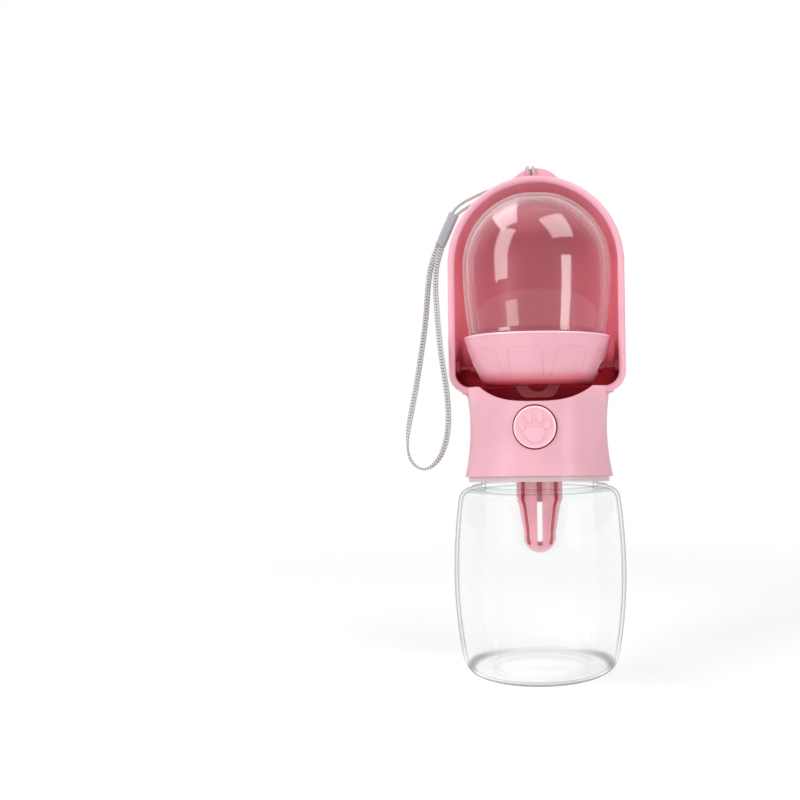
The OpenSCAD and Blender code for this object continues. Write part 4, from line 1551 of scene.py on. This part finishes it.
@dataclass
class Studio:
    """The camera, the floor, the lamps and the white room.

    Attributes:
        eye: Where the camera stands.
        heading: Its turn to the left, in degrees.
        pitch: Its tilt up, in degrees.
        roll: Its turn round its own line of sight, in degrees.
        lens: Its focal length, in millimetres.
        film: Width of its film, in millimetres.
        shift: How far the frame lies off the line of sight, as a share of its width.
        floor_r: Radius of the floor.
        floor_z: Its height, a hair under the object.
        floor_lift: How much light the floor near the object adds to what it reflects.
        fade: Distances from the middle over which the floor fades into the room.
        room_light: Strength of the room's light.
    """

    eye: tuple[float, float, float] = (0.0206, -0.3895, 0.1092)
    heading: float = 3.03
    pitch: float = 0.95
    roll: float = -0.75
    lens: float = 40.5
    film: float = 36
    shift: float = -0.1728
    floor_r: float = 6.0
    floor_z: float = -0.2 * MM
    floor_lift: float = 0.17
    fade: Span = (0.10, 0.42)
    room_light: float = 0.35
    lamps: tuple[Softbox, ...] = (
        Softbox("left_softbox", (-0.60, -0.46, 0.52), (0, 0, 0.13), 0.34, 0.70, 4.1),
        Softbox("right_softbox", (0.335, -0.305, 0.15), (0, 0, 0.14), 0.12, 0.22, 5.0),
        Softbox("front_softbox", (-0.25, -0.34, 0.075), (0, 0, 0.12), 0.14, 0.10, 2.4),
        Softbox("top_left_softbox", (-0.36, 0.06, 0.80), (0, 0, 0.15), 0.66, 0.30, 4.0),
        Softbox("top_right_softbox", (0.32, -0.27, 0.72), (0, 0, 0.15), 0.42, 0.44, 3.6),
    )

    def camera(self) -> None:
        """Set up the camera."""
        data = bpy.data.cameras.new("studio_camera")
        data.lens = self.lens
        data.sensor_width = self.film
        data.shift_x = self.shift
        data.clip_start, data.clip_end = 0.01, 20
        eye = bpy.data.objects.new("studio_camera", data)
        eye.location = self.eye
        turn = Matrix.Rotation(math.radians(self.heading), 4, "Z")
        tilt = Matrix.Rotation(math.radians(90 + self.pitch), 4, "X")
        lean = Matrix.Rotation(math.radians(self.roll), 4, "Z")
        eye.rotation_euler = (turn @ tilt @ lean).to_euler()
        bpy.context.scene.collection.objects.link(eye)
        bpy.context.scene.camera = eye

    def floor(self) -> None:
        """Lay a pale floor that fades into the white room and keeps the shadow."""
        select_only()
        bpy.ops.mesh.primitive_circle_add(
            vertices=96, radius=self.floor_r, fill_type="NGON", location=(0, 0, self.floor_z)
        )
        floor = name_active("studio_floor")
        settle(floor)
        shader = Shader("floor_paper")
        grain = shader.noise(0.8 * MM, detail=2.0)
        shader.set(Base_Color=shader.blend((0.9, 0.9, 0.9), (0.87, 0.87, 0.87), grain), Roughness=0.8)
        seen = shader.ray("Camera").highest(shader.ray("Transmission")).highest(shader.ray("Glossy"))
        away = shader.reach(*shader.xyz()).ease(*self.fade)
        paper = shader.principled.outputs[0]
        lifted = shader.node("ShaderNodeAddShader", values={0: paper, 1: shader.glow(self.floor_lift)})
        near = shader.mix(paper, lifted.outputs[0], seen)
        mixed = shader.mix(near, shader.glow(1.0), away * seen)
        shader.put(shader.output.inputs["Surface"], mixed)
        give(floor, shader.material)

    def room(self) -> None:
        """Make the room white to the eye, and even and dimmer as a light."""
        world = bpy.data.worlds.new("white_room")
        world.use_nodes = True
        tree = world.node_tree
        tree.nodes.clear()
        rays = tree.nodes.new("ShaderNodeLightPath").outputs
        seen = tree.nodes.new("ShaderNodeMath")
        seen.operation = "MAXIMUM"
        tree.links.new(rays["Is Camera Ray"], seen.inputs[0])
        tree.links.new(rays["Is Transmission Ray"], seen.inputs[1])
        mixed = tree.nodes.new("ShaderNodeMixShader")
        tree.links.new(seen.outputs[0], mixed.inputs[0])
        for socket, strength in ((1, self.room_light), (2, 1.0)):
            white = tree.nodes.new("ShaderNodeBackground")
            white.inputs[0].default_value = (*WHITE, 1.0)
            white.inputs[1].default_value = strength
            tree.links.new(white.outputs[0], mixed.inputs[socket])
        output = tree.nodes.new("ShaderNodeOutputWorld")
        tree.links.new(mixed.outputs[0], output.inputs["Surface"])
        bpy.context.scene.world = world

    def build(self) -> None:
        """Set up the camera, the floor, the room and the lamps."""
        self.camera()
        self.floor()
        self.room()
        for lamp in self.lamps:
            lamp.build()
        bpy.context.scene.view_settings.view_transform = "Standard"


def main() -> None:
    """Build the studio and the object's pieces."""
    logging.basicConfig(level=logging.INFO, format="%(message)s")
    for part in (Studio(), Lanyard(), Bottle(), Head(), PushButton(), FilterUnit(), DrinkingCup()):
        LOG.info("building %s", type(part).__name__)
        part.build()


if __name__ == "__main__":
    main()
